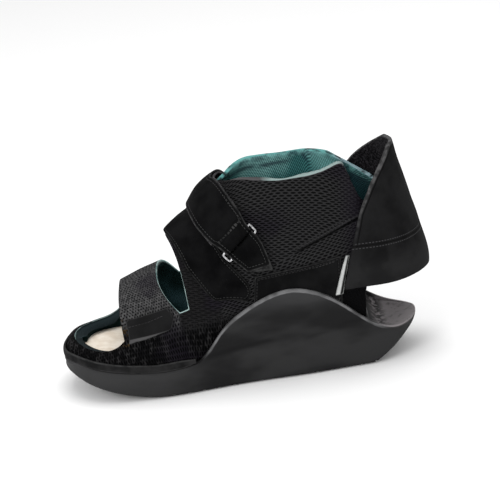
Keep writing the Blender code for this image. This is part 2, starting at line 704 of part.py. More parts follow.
def sling_line(row):
    """Points of one level of the sling, from its near front edge round the heel to the far one."""
    height = SLING.row("height", row) * SLING_HEIGHT
    half = SLING_WIDTH * (0.5 - SLING.row("narrow", row))
    back = SLING_BACK - SLING.row("back", row)
    bottom = smooth([0.0, 2.0], [SLING_LIFT, 0.0], row)

    def edge(share):
        """Arc points from a front edge to the back's middle."""
        fine = 120
        start = along(share)
        places = [start + (back - start) * math.sin(math.pi / 2 * i / fine) for i in range(fine + 1)]
        line = [(x, half * end_round((back - x) / HEEL_ROUND)) for x in places]
        lengths = [0.0]
        for a, b in zip(line, line[1:]):
            lengths.append(lengths[-1] + math.dist(a, b))
        steps = SLING_SIDES + SLING_BENDS
        found = []
        for i in range(steps + 1):
            goal = lengths[-1] * i / steps
            j = min(fine - 1, max(j for j in range(fine + 1) if lengths[j] <= goal))
            u = (goal - lengths[j]) / max(1e-9, lengths[j + 1] - lengths[j])
            found.append((mix(line[j][0], line[j + 1][0], u), mix(line[j][1], line[j + 1][1], u)))
        return found

    near, far = edge(SLING.row("front_near", row)), edge(SLING.row("front_far", row))
    line = [(x, -y) for x, y in near] + far[-2::-1]
    return [(x, y, height + bottom * max(0.0, x) / SLING_BACK) for x, y in line]


def make_sling(material):
    """Cup that carries the heel: two front flaps, a closed foot and a back that rises to a pull peak."""
    shell = Builder("heel_sling")
    lines = [sling_line(row) for row in range(SLING.count)]
    shell.grid(lines[::-1])
    foot = lines[0]
    half = len(foot) // 2
    for i in range(half):
        shell.face([foot[i], foot[i + 1], foot[-2 - i], foot[-1 - i]])
    sling = shell.make(material)
    add_wall(sling, SLING_WALL)
    return sling


# The ring lies across the strap's end. Corners of its middle line in side view, front end first
RING_LINE = ((0.4955, 0.6660), (0.5680, 0.7780))
RING_LIFT = 2 * CLEARANCE + BAND_THICKNESS + STRAP_THICKNESS + CLEARANCE + WIRE_RADIUS
FOLD_RADIUS = WIRE_RADIUS + CLEARANCE + STRAP_THICKNESS / 2
FOLD_RISE = 0.010  # length over which a strap climbs to its fold


def ring_place(a, distance, lift):
    """Point near the ring. a: share along its line. distance: along the strap, past that line."""
    (front_x, front_z), (back_x, back_z) = RING_LINE
    first = Vector((along(front_x), 0, front_z * COLLAR_HEIGHT))
    second = Vector((along(back_x), 0, back_z * COLLAR_HEIGHT))
    line = second - first
    down = Vector((line.z, 0, -line.x)).normalized()
    goal = first + line * a + down * distance
    station, level = locate((goal.x - TOE_X) / SOLE_LENGTH, goal.z / COLLAR_HEIGHT)
    return skin(station, level, NEAR, lift)


def fold(bar, direction):
    """Middle line of a strap's turn round a bar, as (distance, lift), from its upper run to its lower run."""
    path = []
    for i in range(9):
        turn = math.pi / 2 - math.pi * i / 8
        reach = FOLD_RADIUS * math.cos(turn)
        path.append((bar + direction * reach, RING_LIFT + FOLD_RADIUS * math.sin(turn)))
    return path


def make_ribbon(name, path, width, material, across=4):
    """Closed strap: a middle line of (place, lift) pairs given a thickness. width(a, place, lift) maps it."""
    shell = Builder(name)
    faces = []
    for sign in (1, -1):
        line = []
        for i, (place, lift) in enumerate(path):
            before, after = path[max(0, i - 1)], path[min(len(path) - 1, i + 1)]
            run, rise = (after[0] - before[0]), after[1] - before[1]
            length = math.hypot(run, rise)
            half = sign * STRAP_THICKNESS / 2
            line.append((place - rise / length * half, lift + run / length * half))
        faces.append(line)
    outline = faces[0] + faces[1][::-1]
    edges = [[tuple(width(i / across, *point)) for point in outline] for i in range(across + 1)]
    shell.grid([edge + edge[:1] for edge in edges])
    count = len(path)
    for edge in (edges[0], edges[-1]):
        for i in range(count - 1):
            shell.face([edge[i], edge[i + 1], edge[-2 - i], edge[-1 - i]])
    return shell.make(material)


def make_anchor(material):
    """Strap end sewn to the quarter: runs up to the ring, round its lower bar and back over itself."""
    bar = RING_GAP / 2
    low = CLEARANCE + STRAP_THICKNESS / 2
    high = low + STRAP_THICKNESS + CLEARANCE
    under = [(ANCHOR_LENGTH, low), (0.020, low), (bar + FOLD_RISE, low)]
    under.append((bar + 0.004, RING_LIFT - FOLD_RADIUS))
    over = [(bar + 0.004, RING_LIFT + FOLD_RADIUS - 0.0004), (bar + FOLD_RISE, high + 0.0006), (0.020, high)]
    over.append((ANCHOR_LENGTH - 0.004, high))
    path = under + fold(bar, -1)[::-1] + over

    def width(a, distance, lift):
        past = max(0.0, distance - FOLD_RISE) / (ANCHOR_LENGTH - FOLD_RISE)
        reach = mix(ANCHOR_SLANT * ANCHOR_LENGTH, ANCHOR_LENGTH, a) - FOLD_RISE
        inner = mix(0.03, 0.97, a) * (1 - ANCHOR_TAPER * past)
        return ring_place(inner, min(distance, FOLD_RISE) + past * reach, lift)

    return make_ribbon("ring_anchor", path, width, material)


ANCHOR_LENGTH = 0.034
ANCHOR_SLANT = 0.62  # share of that which its front edge runs
ANCHOR_TAPER = 0.44  # how much narrower its sewn end is


def make_instep_strap(material):
    """Strap from the far side over the instep, through the ring and back on itself."""
    front, back = trace(STRAP_FRONT_EDGE, True), trace(STRAP_BACK_EDGE, True)
    over = PAD_LIFT + PAD_THICKNESS + LOOP_GAP + STRAP_THICKNESS / 2
    under = PAD_LIFT + STRAP_THICKNESS / 2
    bar = -RING_GAP / 2
    blend = 0.012

    def width(a, distance, lift):
        """Near the ring the place is measured from it; further up it follows the strap's two edges."""
        inner = mix(0.03, 0.97, a)
        if distance > -blend:
            return ring_place(inner, distance, lift)
        share = (-distance - blend) / STRAP_RUN
        first, second = front(mix(STRAP_START, 1.0, share)), back(mix(STRAP_START, 1.0, share))
        on_edges = skin(mix(first[0], second[0], a), mix(first[1], second[1], a), NEAR, lift)
        return on_edges

    steps = 24
    top = [(-blend - STRAP_RUN * (steps - i) / steps, over) for i in range(steps)]
    top += [(bar - FOLD_RISE + 0.0004, over + 0.0002), (bar - 0.004, RING_LIFT + FOLD_RADIUS - 0.0003)]
    low = [(bar - 0.004, RING_LIFT - FOLD_RADIUS), (bar - 0.0072, under)]
    return make_ribbon("instep_strap", top + fold(bar, 1) + low, width, material)


STRAP_RUN = 0.150
STRAP_START = 0.09


def make_ring(material):
    """Rectangular wire ring, closed, with rounded corners."""
    half = RING_GAP / 2
    corners = ((-0.07, -half), (1.07, -half), (1.07, half), (-0.07, half))
    places = []
    rounding = (0.05, 0.0014)
    for i, (a, distance) in enumerate(corners):
        inwards_a = -1 if a > 0.5 else 1
        inwards_d = -1 if distance > 0 else 1
        first = (a + inwards_a * rounding[0], distance)
        second = (a, distance + inwards_d * rounding[1])
        if i % 2:
            first, second = first, second
        else:
            first, second = second, first
        middle = (a + inwards_a * rounding[0] * 0.29, distance + inwards_d * rounding[1] * 0.29)
        places += [first, middle, second]
        if i == 0:
            places += [(share, -half) for share in (0.25, 0.5, 0.75)]
        if i == 2:
            places += [(share, half) for share in (0.75, 0.5, 0.25)]
    curve = bpy.data.curves.new("strap_ring", "CURVE")
    curve.dimensions = "3D"
    curve.bevel_depth = WIRE_RADIUS
    curve.bevel_resolution = 2
    line = curve.splines.new("POLY")
    line.points.add(len(places) - 1)
    for point, (a, distance) in zip(line.points, places):
        point.co = (*ring_place(a, distance, RING_LIFT), 1.0)
    line.use_cyclic_u = True
    made = bpy.data.objects.new("strap_ring", curve)
    bpy.context.scene.collection.objects.link(made)
    curve.materials.append(material)
    return made


PAD_LIFT = 2 * CLEARANCE + BAND_THICKNESS


def main():
    clear_scene()
    sole_grey = finish_material("sole_grey", (0.035, 0.035, 0.036), 0.55)
    mesh_black = finish_material("mesh_black", (0.012, 0.012, 0.013), 0.85)
    smooth_black = finish_material("smooth_black", (0.010, 0.010, 0.011), 0.6)
    loop_black = finish_material("loop_black", (0.014, 0.014, 0.015), 0.95)
    cream = finish_material("insole_cream", (0.90, 0.72, 0.52), 0.7)
    steel = finish_material("ring_steel", (0.75, 0.75, 0.75), 0.3, 1.0)
    grey = finish_material("flag_grey", (0.55, 0.56, 0.55), 0.5)
    make_sole(sole_grey)
    make_insole(cream)
    make_upper(mesh_black)
    make_rand(mesh_black)
    make_gusset(mesh_black)
    make_sling(smooth_black)

    band = between(trace(BAND_FRONT_EDGE, True), trace(BAND_BACK_EDGE, True))
    make_plate("instep_band", band, 28, 4, CLEARANCE, CLEARANCE + BAND_THICKNESS, smooth_black)
    panel_top = CLEARANCE + PANEL_THICKNESS
    for side, word in ((NEAR, "near"), (FAR, "far")):
        panel = between(trace(PANEL_FOOT_EDGE), trace(PANEL_TOP_EDGE), side)
        make_plate(f"quarter_panel_{word}", panel, 10, 3, CLEARANCE, panel_top, smooth_black)
    tab = between(trace(TAB_FRONT_EDGE), trace(TAB_BACK_EDGE))
    make_plate("toe_strap_tab", tab, 4, 6, CLEARANCE, CLEARANCE + TAB_THICKNESS, smooth_black)
    pad = between(trace(PAD_FRONT_EDGE, True), trace(PAD_BACK_EDGE, True))
    make_plate("strap_loop_pad", pad, 24, 4, PAD_LIFT, PAD_LIFT + PAD_THICKNESS, loop_black)
    make_instep_strap(smooth_black)
    make_ring(steel)
    make_anchor(smooth_black)
    flag = between(trace(FLAG_FRONT_EDGE), trace(FLAG_BACK_EDGE))
    flag_low = 2 * CLEARANCE + PANEL_THICKNESS
    make_plate("grey_flag", flag, 5, 2, flag_low, flag_low + FLAG_THICKNESS, grey)


main()
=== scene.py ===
import math

import bmesh
import bpy
from mathutils import Matrix, Vector, noise
from mathutils.bvhtree import BVHTree
from mathutils.kdtree import KDTree


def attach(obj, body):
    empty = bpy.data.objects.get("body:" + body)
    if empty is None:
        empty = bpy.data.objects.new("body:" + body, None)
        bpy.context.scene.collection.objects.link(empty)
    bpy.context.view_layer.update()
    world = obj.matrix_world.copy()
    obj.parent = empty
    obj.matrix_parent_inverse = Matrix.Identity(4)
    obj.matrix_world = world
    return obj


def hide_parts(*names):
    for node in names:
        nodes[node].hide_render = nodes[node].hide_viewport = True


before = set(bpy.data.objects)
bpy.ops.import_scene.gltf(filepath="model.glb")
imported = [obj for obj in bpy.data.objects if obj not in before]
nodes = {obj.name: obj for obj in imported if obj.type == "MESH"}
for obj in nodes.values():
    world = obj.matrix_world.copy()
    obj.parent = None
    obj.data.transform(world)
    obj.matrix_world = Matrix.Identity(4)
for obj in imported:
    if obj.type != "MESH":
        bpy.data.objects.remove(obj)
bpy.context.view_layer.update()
rootBody = "root"
mm = 0.001
print("frame loaded:", len(nodes), "solids")


# small helpers for picking and shaping

def dropSelection():
    if bpy.context.object and bpy.context.object.mode != "OBJECT":
        bpy.ops.object.mode_set(mode="OBJECT")
    bpy.ops.object.select_all(action="DESELECT")


def pick(piece):
    dropSelection()
    piece.select_set(True)
    bpy.context.view_layer.objects.active = piece


def applyAll(piece):
    pick(piece)
    for modifier in list(piece.modifiers):
        bpy.ops.object.modifier_apply(modifier=modifier.name)


def smoothStep(low, high, value):
    share = min(1.0, max(0.0, (value - low) / (high - low)))
    return share * share * (3 - 2 * share)


def bell(centre, width, value):
    return math.exp(-((value - centre) / width) ** 2)


def farFromLine(x, z, line):  # side-view distance to a line of corners, in the line's units
    best = 1e9
    for (ax, az), (bx, bz) in zip(line, line[1:]):
        length = (bx - ax) ** 2 + (bz - az) ** 2
        share = min(1.0, max(0.0, ((x - ax) * (bx - ax) + (z - az) * (bz - az)) / length))
        best = min(best, math.hypot(x - ax - share * (bx - ax), z - az - share * (bz - az)))
    return best


def sharpRuns(piece, sharpness, step=0.6 * mm):  # places along the piece's edges, with their running length
    shape = bmesh.new()
    shape.from_mesh(piece.data)
    limit = math.radians(sharpness)
    inner = [edge for edge in shape.edges if len(edge.link_faces) == 2]
    sharp = {edge for edge in inner if edge.calc_face_angle(0.0) > limit}
    runs, length = [], 0.0
    while sharp:
        edge = min(sharp, key=lambda item: item.index)
        here = edge.verts[0]
        while edge:
            sharp.discard(edge)
            there = edge.other_vert(here)
            span = (there.co - here.co).length
            count = max(1, round(span / step))
            for i in range(count):
                runs.append((here.co.lerp(there.co, i / count), length + span * i / count))
            length += span
            here = there
            edge = next((item for item in here.link_edges if item in sharp), None)
    shape.free()
    return runs


def writeEdgeMeasures(piece, runs):  # how far each point lies from an edge, and how far along it, in mm
    tree = KDTree(len(runs))
    for number, (place, length) in enumerate(runs):
        tree.insert(place, number)
    tree.balance()
    apart = piece.data.attributes.new("edgeApart", "FLOAT", "POINT")
    along = piece.data.attributes.new("edgeAlong", "FLOAT", "POINT")
    for vertex in piece.data.vertices:
        place, number, distance = tree.find(vertex.co)
        apart.data[vertex.index].value = distance / mm
        along.data[vertex.index].value = runs[number][1] / mm


def copyOfNode(nodeName, pieceName, levels=2, sharpness=None, crease=1.0, sort=None):
    data = nodes[nodeName].data.copy()
    piece = bpy.data.objects.new(pieceName, data)
    bpy.context.scene.collection.objects.link(piece)
    data.materials.clear()
    pick(piece)
    bpy.ops.mesh.customdata_custom_splitnormals_clear()
    bpy.ops.object.mode_set(mode="EDIT")
    bpy.ops.mesh.select_mode(type="EDGE")
    bpy.ops.mesh.select_all(action="SELECT")
    bpy.ops.mesh.remove_doubles(threshold=2e-6)
    bpy.ops.mesh.tris_convert_to_quads(face_threshold=math.radians(50), shape_threshold=math.radians(60))
    if sharpness:
        bpy.ops.mesh.select_all(action="DESELECT")
        bpy.ops.mesh.edges_select_sharp(sharpness=math.radians(sharpness))
        bpy.ops.transform.edge_crease(value=crease)
    bpy.ops.object.mode_set(mode="OBJECT")
    bpy.ops.object.shade_smooth()
    runs = sharpRuns(piece, sharpness or 50)
    if sort:
        sort(piece)
    smoother = piece.modifiers.new("smoother", "SUBSURF")
    smoother.levels = smoother.render_levels = levels
    applyAll(piece)
    if runs:
        writeEdgeMeasures(piece, runs)
    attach(piece, rootBody)
    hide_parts(nodeName)
    return piece


# node helpers

class NodeSheet:
    def __init__(self, name):
        self.material = bpy.data.materials.new(name)
        self.material.use_nodes = True
        self.tree = self.material.node_tree
        self.shader = self.tree.nodes["Principled BSDF"]
        self.coordinates = self.tree.nodes.new("ShaderNodeTexCoord")
        self.position = self.coordinates.outputs["Object"]
        self.facing = self.coordinates.outputs["Normal"]

    def link(self, source, socket):
        if isinstance(source, (int, float, tuple)):
            socket.default_value = source
        else:
            self.tree.links.new(source, socket)

    def math(self, operation, first, second=None):
        node = self.tree.nodes.new("ShaderNodeMath")
        node.operation = operation
        self.link(first, node.inputs[0])
        if second is not None:
            self.link(second, node.inputs[1])
        return node.outputs[0]

    def add(self, first, second):
        return self.math("ADD", first, second)

    def times(self, first, second):
        return self.math("MULTIPLY", first, second)

    def less(self, first, second):
        return self.math("SUBTRACT", first, second)

    def most(self, first, second):
        return self.math("MAXIMUM", first, second)

    def split(self, vector):
        node = self.tree.nodes.new("ShaderNodeSeparateXYZ")
        self.link(vector, node.inputs[0])
        return node.outputs

    def vector(self, operation, first, second):
        node = self.tree.nodes.new("ShaderNodeVectorMath")
        node.operation = operation
        self.link(first, node.inputs[0])
        self.link(second, node.inputs[1])
        return node.outputs[0]

    def places(self):  # x, y and z in mm
        return self.split(self.vector("MULTIPLY", self.position, (1000.0, 1000.0, 1000.0)))

    def ramp(self, value, low, high, fromTo=(0.0, 1.0)):
        node = self.tree.nodes.new("ShaderNodeMapRange")
        node.interpolation_type = "SMOOTHSTEP"
        self.link(value, node.inputs["Value"])
        node.inputs["From Min"].default_value = low
        node.inputs["From Max"].default_value = high
        node.inputs["To Min"].default_value = fromTo[0]
        node.inputs["To Max"].default_value = fromTo[1]
        return node.outputs["Result"]

    def span(self, value, rise, fall):  # 1 between two ramps
        return self.times(self.ramp(value, *rise), self.ramp(value, *fall))

    def blend(self, share, first, second):
        node = self.tree.nodes.new("ShaderNodeMix")
        node.data_type = "RGBA"
        self.link(share, node.inputs["Factor"])
        for value, socket in ((first, node.inputs[6]), (second, node.inputs[7])):
            self.link((*value, 1.0) if isinstance(value, tuple) else value, socket)
        return node.outputs[2]

    def mixValue(self, share, first, second):
        node = self.tree.nodes.new("ShaderNodeMix")
        node.data_type = "FLOAT"
        self.link(share, node.inputs["Factor"])
        self.link(first, node.inputs[2])
        self.link(second, node.inputs[3])
        return node.outputs[0]

    def noise(self, scale, detail=2.0, roughness=0.5, stretch=None):
        node = self.tree.nodes.new("ShaderNodeTexNoise")
        vector = self.vector("MULTIPLY", self.position, stretch) if stretch else self.position
        self.link(vector, node.inputs["Vector"])
        node.inputs["Scale"].default_value = scale
        node.inputs["Detail"].default_value = detail
        node.inputs["Roughness"].default_value = roughness
        return node.outputs["Fac"]

    def attribute(self, name):
        node = self.tree.nodes.new("ShaderNodeAttribute")
        node.attribute_name = name
        return node.outputs["Fac"]

    def band(self, value, middle, half, soft):  # 1 within half of middle
        away = self.math("ABSOLUTE", self.less(value, middle))
        return self.ramp(away, half + soft, max(0.0, half - soft))

    def dashes(self, value, pitch, share):  # 1 over that share of each pitch
        step = self.math("FRACT", self.math("DIVIDE", value, pitch))
        return self.band(step, 0.5, share / 2, 0.06)

    def turned(self, u, v, degrees):
        c, s = math.cos(math.radians(degrees)), math.sin(math.radians(degrees))
        along = self.add(self.times(u, c), self.times(v, s))
        across = self.less(self.times(v, c), self.times(u, s))
        return along, across

    def ovals(self, u, v, pitchU, pitchV, radiusU, radiusV, soft=0.3):  # staggered holes, 1 in a hole
        row = self.math("DIVIDE", v, pitchV)
        odd = self.times(self.math("PINGPONG", self.math("FLOOR", row), 1.0), 0.5)
        column = self.add(self.math("DIVIDE", u, pitchU), odd)
        across = self.times(self.less(self.math("FRACT", column), 0.5), pitchU / radiusU)
        upward = self.times(self.less(self.math("FRACT", row), 0.5), pitchV / radiusV)
        away = self.math("SQRT", self.add(self.times(across, across), self.times(upward, upward)))
        return self.ramp(away, 1 + soft, 1 - soft)

    def fromLine(self, x, z, first, second):  # side-view distance, above 0 over a line that runs to the right
        (ax, az), (bx, bz) = first, second
        length = math.hypot(bx - ax, bz - az)
        offX = self.times(self.less(x, ax), -(bz - az) / length)
        offZ = self.times(self.less(z, az), (bx - ax) / length)
        return self.add(offX, offZ)

    def besideLine(self, x, z, first, second, soft=1.0):
        return self.ramp(self.fromLine(x, z, first, second), -soft, soft)

    def alongLine(self, x, z, first, second, half, soft):
        return self.band(self.fromLine(x, z, first, second), 0.0, half, soft)

    def raiseBy(self, height, strength=1.0, distance=0.001):
        node = self.tree.nodes.new("ShaderNodeBump")
        node.inputs["Strength"].default_value = strength
        node.inputs["Distance"].default_value = distance
        self.link(height, node.inputs["Height"])
        self.link(node.outputs["Normal"], self.shader.inputs["Normal"])

    def colour(self, source):
        self.link(source, self.shader.inputs["Base Color"])

    def fixed(self, roughness, gloss):
        self.shader.inputs["Roughness"].default_value = roughness
        self.shader.inputs["Specular IOR Level"].default_value = gloss


# materials: colours are linear, places and widths in mm

def makeSoleRubber():
    settings = {
        "dark": (0.0100, 0.0100, 0.0104), "light": (0.0255, 0.0255, 0.0261), "lipHighlight": (0.200, 0.200, 0.205),
        "dish": (0.300, 0.277, 0.284), "dishDark": (0.0400, 0.0390, 0.0400), "dishStart": (98.0, 106.0),
        "troughShade": (0.0064, 0.0064, 0.0069), "troughShadeShare": (0.30, 0.85), "smearPlace": 118.0,
        "fore": (0.0370, 0.0370, 0.0378), "foreStart": (-30.0, -80.0),
        "litCrown": (0.0544, 0.0544, 0.0560), "crownRise": (50.0, 76.0), "lightenShare": 0.6,
        "flank": (28.0, 33.0), "troughs": (((-39, 28), (36, 35.5)), ((46, 32), (98, 42))),
        "lipWidth": (1.2, 0.3), "lipRise": (27.0, 34.0), "roughness": 0.62, "gloss": 0.10,
    }
    sheet = NodeSheet("soleRubber")
    x, y, z = sheet.places()
    cloud = sheet.noise(22.0, 3.0, 0.5, stretch=(0.6, 1.0, 1.5))
    speck = sheet.noise(1100.0, 2.0, 0.6)
    colour = sheet.blend(sheet.ramp(cloud, 0.38, 0.62), settings["dark"], settings["light"])
    # painted light: the sole's top, which faces the light, is painted lighter; the same share lightens it
    # towards the toe
    litCrown = sheet.times(sheet.ramp(z, *settings["crownRise"]), settings["lightenShare"])
    colour = sheet.blend(litCrown, colour, settings["litCrown"])
    fore = sheet.times(sheet.ramp(x, *settings["foreStart"]), settings["lightenShare"])
    colour = sheet.blend(fore, colour, settings["fore"])
    side = sheet.ramp(sheet.math("ABSOLUTE", y), *settings["flank"])
    streaks = sheet.ramp(sheet.noise(60.0, 2.0, 0.5, stretch=(0.35, 1.0, 2.2)), 0.42, 0.62)
    streaks = sheet.mixValue(streaks, *settings["troughShadeShare"])
    # painted shade: the flank darkens in patchy streaks along its shallow troughs
    for first, second in settings["troughs"]:
        inSpan = sheet.span(x, (first[0] - 6, first[0] + 8), (second[0] + 6, second[0] - 8))
        trough = sheet.times(sheet.alongLine(x, z, first, second, 1.8, 2.4), inSpan)
        colour = sheet.blend(sheet.times(sheet.times(trough, side), streaks), colour, settings["troughShade"])
    normalX, normalY, normalZ = sheet.split(sheet.facing)
    turnedIn = sheet.ramp(sheet.times(normalY, sheet.math("SIGN", y)), -0.05, -0.35)
    inDish = sheet.most(turnedIn, sheet.ramp(normalZ, 0.35, 0.75))
    inDish = sheet.times(inDish, sheet.ramp(x, *settings["dishStart"]))
    mottle = sheet.noise(170.0, 3.0, 0.6)
    smear = sheet.band(sheet.add(x, sheet.times(z, 0.5)), settings["smearPlace"], 2.0, 7.0)
    smear = sheet.times(smear, sheet.ramp(mottle, 0.38, 0.55))
    smear = sheet.most(smear, sheet.ramp(mottle, 0.50, 0.80, (0.0, 0.7)))
    colour = sheet.blend(inDish, colour, sheet.blend(smear, settings["dish"], settings["dishDark"]))
    # painted highlight along the lip on the wing's top, broken into patches
    lipHighlight = sheet.ramp(sheet.attribute("edgeApart"), *settings["lipWidth"])
    lipHighlight = sheet.times(lipHighlight, sheet.ramp(z, *settings["lipRise"]))
    lipHighlightPatches = sheet.ramp(sheet.noise(90.0, 1.0), 0.3, 0.6, (0.25, 0.8))
    colour = sheet.blend(sheet.times(lipHighlight, lipHighlightPatches), colour, settings["lipHighlight"])
    sheet.colour(colour)
    sheet.fixed(settings["roughness"], settings["gloss"])
    grain = sheet.add(sheet.times(speck, 0.16), sheet.times(sheet.noise(140.0, 3.0, 0.6), 0.55))
    sheet.raiseBy(grain, 0.55, 0.0005)
    return sheet.material


# cloth in one colour, with an edge that is bound or turned and rows of stitches beside it
def makeCloth(name, chosen):
    settings = {
        "cloudScale": 45.0, "weave": 2400.0, "grain": 0.25, "rough": 0.9, "gloss": 0.03, "strength": 0.6,
        "stitches": (), "stitchPitch": 2.6, "stitchShare": 0.62, **chosen,
    }
    sheet = NodeSheet(name)
    cloud = sheet.ramp(sheet.noise(settings["cloudScale"], 3.0, 0.55), 0.34, 0.66)
    colour = sheet.blend(cloud, settings["dark"], settings["light"])
    fine = sheet.times(sheet.noise(settings["weave"], 2.0, 0.7), settings["grain"])
    height = sheet.add(fine, sheet.times(sheet.noise(160.0, 2.0), 0.35))
    if "pile" in settings:
        tuft = sheet.ramp(sheet.noise(settings["pile"], 2.0, 0.75), 0.42, 0.66)
        colour = sheet.blend(sheet.times(tuft, 0.85), colour, settings["tuft"])
        height = sheet.add(height, sheet.times(tuft, 0.9))
    x, y, z = sheet.places()
    # painted shade on one side of a line (greyTape) and a painted highlight on the rolled lower lip
    # (hookCloth)
    for key, soft in (("shaded", 0.6), ("lipHighlight", 0.5)):
        if key in settings:
            first, second, tone = settings[key]
            colour = sheet.blend(sheet.besideLine(x, z, first, second, soft), tone, colour)
    apart = sheet.attribute("edgeApart")
    if "edge" in settings:
        width, tone = settings["edge"]
        patchy = sheet.ramp(sheet.noise(260.0, 2.0), 0.35, 0.62, (0.3, 1.0))
        colour = sheet.blend(sheet.times(sheet.ramp(apart, width + 0.4, width - 0.4), patchy), colour, tone)
    for place, tone in settings["stitches"]:
        groove = sheet.band(apart, place, 0.75, 0.35)
        dashes = sheet.dashes(sheet.attribute("edgeAlong"), settings["stitchPitch"], settings["stitchShare"])
        thread = sheet.times(sheet.band(apart, place, 0.28, 0.15), dashes)
        colour = sheet.blend(sheet.times(groove, 0.45), colour, settings["dark"])
        colour = sheet.blend(thread, colour, tone)
        height = sheet.less(height, sheet.times(groove, 0.9))
        height = sheet.add(height, sheet.times(thread, 0.9))
    sheet.colour(colour)
    sheet.fixed(settings["rough"], settings["gloss"])
    sheet.raiseBy(height, settings["strength"], 0.0006)
    return sheet.material


def makeBootieMesh():
    settings = {
        "hole": (0.0010, 0.0010, 0.0011), "strandDark": (0.0110, 0.0110, 0.0114),
        "strandLight": (0.0400, 0.0394, 0.0406), "toeDark": (0.0240, 0.0240, 0.0252),
        "toeLight": (0.0760, 0.0750, 0.0760), "vampDark": (0.0032, 0.0032, 0.0035),
        "vampLight": (0.0230, 0.0222, 0.0230), "brown": (0.0450, 0.0280, 0.0120),
        "plum": (0.0136, 0.0112, 0.0168), "seam": ((40.0, 99.0), (97.0, 121.5)), "seamStart": (42.0, 50.0),
        # slope of the rows in degrees, pitches and radii of the holes
        "above": (-9, 5.4, 1.95, 1.85, 0.66), "below": (19, 5.2, 1.85, 1.75, 0.62),
        "toe": (8, 2.2, 3.4, 0.46, 1.0), "vamp": (7, 2.0, 4.4, 0.55, 1.75),
        "margin": (0, 7.0, 1.9, 2.5, 0.55), "toeEnd": (-49.0, -52.0), "quarterStart": (-16.0, -19.0),
        "lowEdge": (64.0, 48.0), "vampEnd": (4.0, -4.0),
        "patchSpan": ((-99.0, -97.0), (-88.0, -91.0)), "patchHeight": ((43.0, 47.0), (68.0, 62.0)),
        "rearStart": (78.0, 96.0), "footStart": (74.0, 79.0), "footTop": (70.0, 62.0),
        "roughness": 0.95, "gloss": 0.03,
    }
    sheet = NodeSheet("bootieMesh")
    x, y, z = sheet.places()
    wander = sheet.times(sheet.less(sheet.noise(34.0, 1.0), 0.5), 9.0)
    drift = sheet.times(sheet.less(sheet.noise(24.0, 1.0), 0.5), 8.0)
    u = sheet.add(x, wander)
    v = sheet.add(sheet.less(z, sheet.math("ABSOLUTE", y)), drift)  # runs on over the instep
    seam = settings["seam"]
    rows = {}
    for key in ("above", "below", "toe", "vamp", "margin"):
        slope, *sizes = settings[key]
        rows[key] = sheet.ovals(*sheet.turned(u, v, slope), *sizes)
    quarterHoles = sheet.mixValue(sheet.besideLine(x, z, *seam, 0.4), rows["below"], rows["above"])
    isLow = sheet.ramp(sheet.add(z, sheet.times(wander, 1.2)), *settings["lowEdge"])
    isToe = sheet.ramp(x, *settings["toeEnd"])
    beforeQuarter = sheet.ramp(x, *settings["quarterStart"])
    foreHoles = sheet.mixValue(isToe, rows["margin"], rows["toe"])
    holes = sheet.mixValue(beforeQuarter, quarterHoles, foreHoles)
    lowVamp = sheet.times(isLow, sheet.ramp(x, *settings["vampEnd"]))
    holes = sheet.mixValue(lowVamp, holes, rows["vamp"])
    thread = sheet.noise(1500.0, 2.0, 0.65)
    cloth = sheet.blend(thread, settings["strandDark"], settings["strandLight"])
    toeCloud = sheet.ramp(sheet.noise(420.0, 2.0, 0.7), 0.35, 0.65)
    toeTone = sheet.blend(toeCloud, settings["toeDark"], settings["toeLight"])
    high = sheet.less(1.0, isLow)
    cloth = sheet.blend(sheet.times(isToe, high), cloth, toeTone)
    strokes = sheet.ramp(sheet.noise(330.0, 2.0, 0.6, stretch=(1.0, 0.5, 0.4)), 0.45, 0.68)
    vampTone = sheet.blend(strokes, settings["vampDark"], settings["vampLight"])
    cloth = sheet.blend(lowVamp, cloth, vampTone)
    margin = sheet.times(sheet.times(beforeQuarter, sheet.less(1.0, isToe)), high)
    cloth = sheet.blend(margin, cloth, sheet.blend(thread, settings["vampDark"], settings["vampLight"]))
    plum = sheet.times(sheet.ramp(sheet.noise(26.0, 2.0), 0.5, 0.66), 0.6)
    cloth = sheet.blend(plum, cloth, settings["plum"])
    patch = sheet.times(sheet.span(x, *settings["patchSpan"]), sheet.span(z, *settings["patchHeight"]))
    threads = sheet.ramp(sheet.noise(380.0, 2.0, 0.7), 0.52, 0.62)
    cloth = sheet.blend(sheet.times(patch, threads), cloth, settings["brown"])
    depth = sheet.mixValue(margin, 0.92, 0.6)
    colour = sheet.blend(sheet.times(holes, depth), cloth, settings["hole"])
    # painted shade: the back of the quarters turns darker and plum-tinted around the heel
    rear = sheet.times(sheet.ramp(x, *settings["rearStart"]), 0.6)
    colour = sheet.blend(rear, colour, settings["plum"])
    foot = sheet.times(sheet.ramp(x, *settings["footStart"]), sheet.ramp(z, *settings["footTop"]))
    colour = sheet.blend(foot, colour, settings["vampDark"])
    seamSpan = sheet.ramp(x, *settings["seamStart"])
    groove = sheet.times(sheet.alongLine(x, z, *seam, 0.9, 0.8), seamSpan)
    colour = sheet.blend(sheet.times(groove, 0.9), colour, settings["hole"])
    # painted highlight along the raised crest just above the quarter seam
    crest = [(cornerX, cornerZ + 2.4) for cornerX, cornerZ in seam]
    ridge = sheet.times(sheet.alongLine(x, z, *crest, 0.6, 0.7), seamSpan)
    colour = sheet.blend(sheet.times(ridge, 0.6), colour, settings["strandLight"])
    sheet.colour(colour)
    sheet.fixed(settings["roughness"], settings["gloss"])
    height = sheet.add(sheet.less(1.0, holes), sheet.times(thread, 0.25))
    height = sheet.less(height, sheet.times(groove, 1.2))
    height = sheet.add(height, sheet.times(sheet.times(strokes, lowVamp), 0.7))
    sheet.raiseBy(height, 0.85, 0.0009)
    return sheet.material


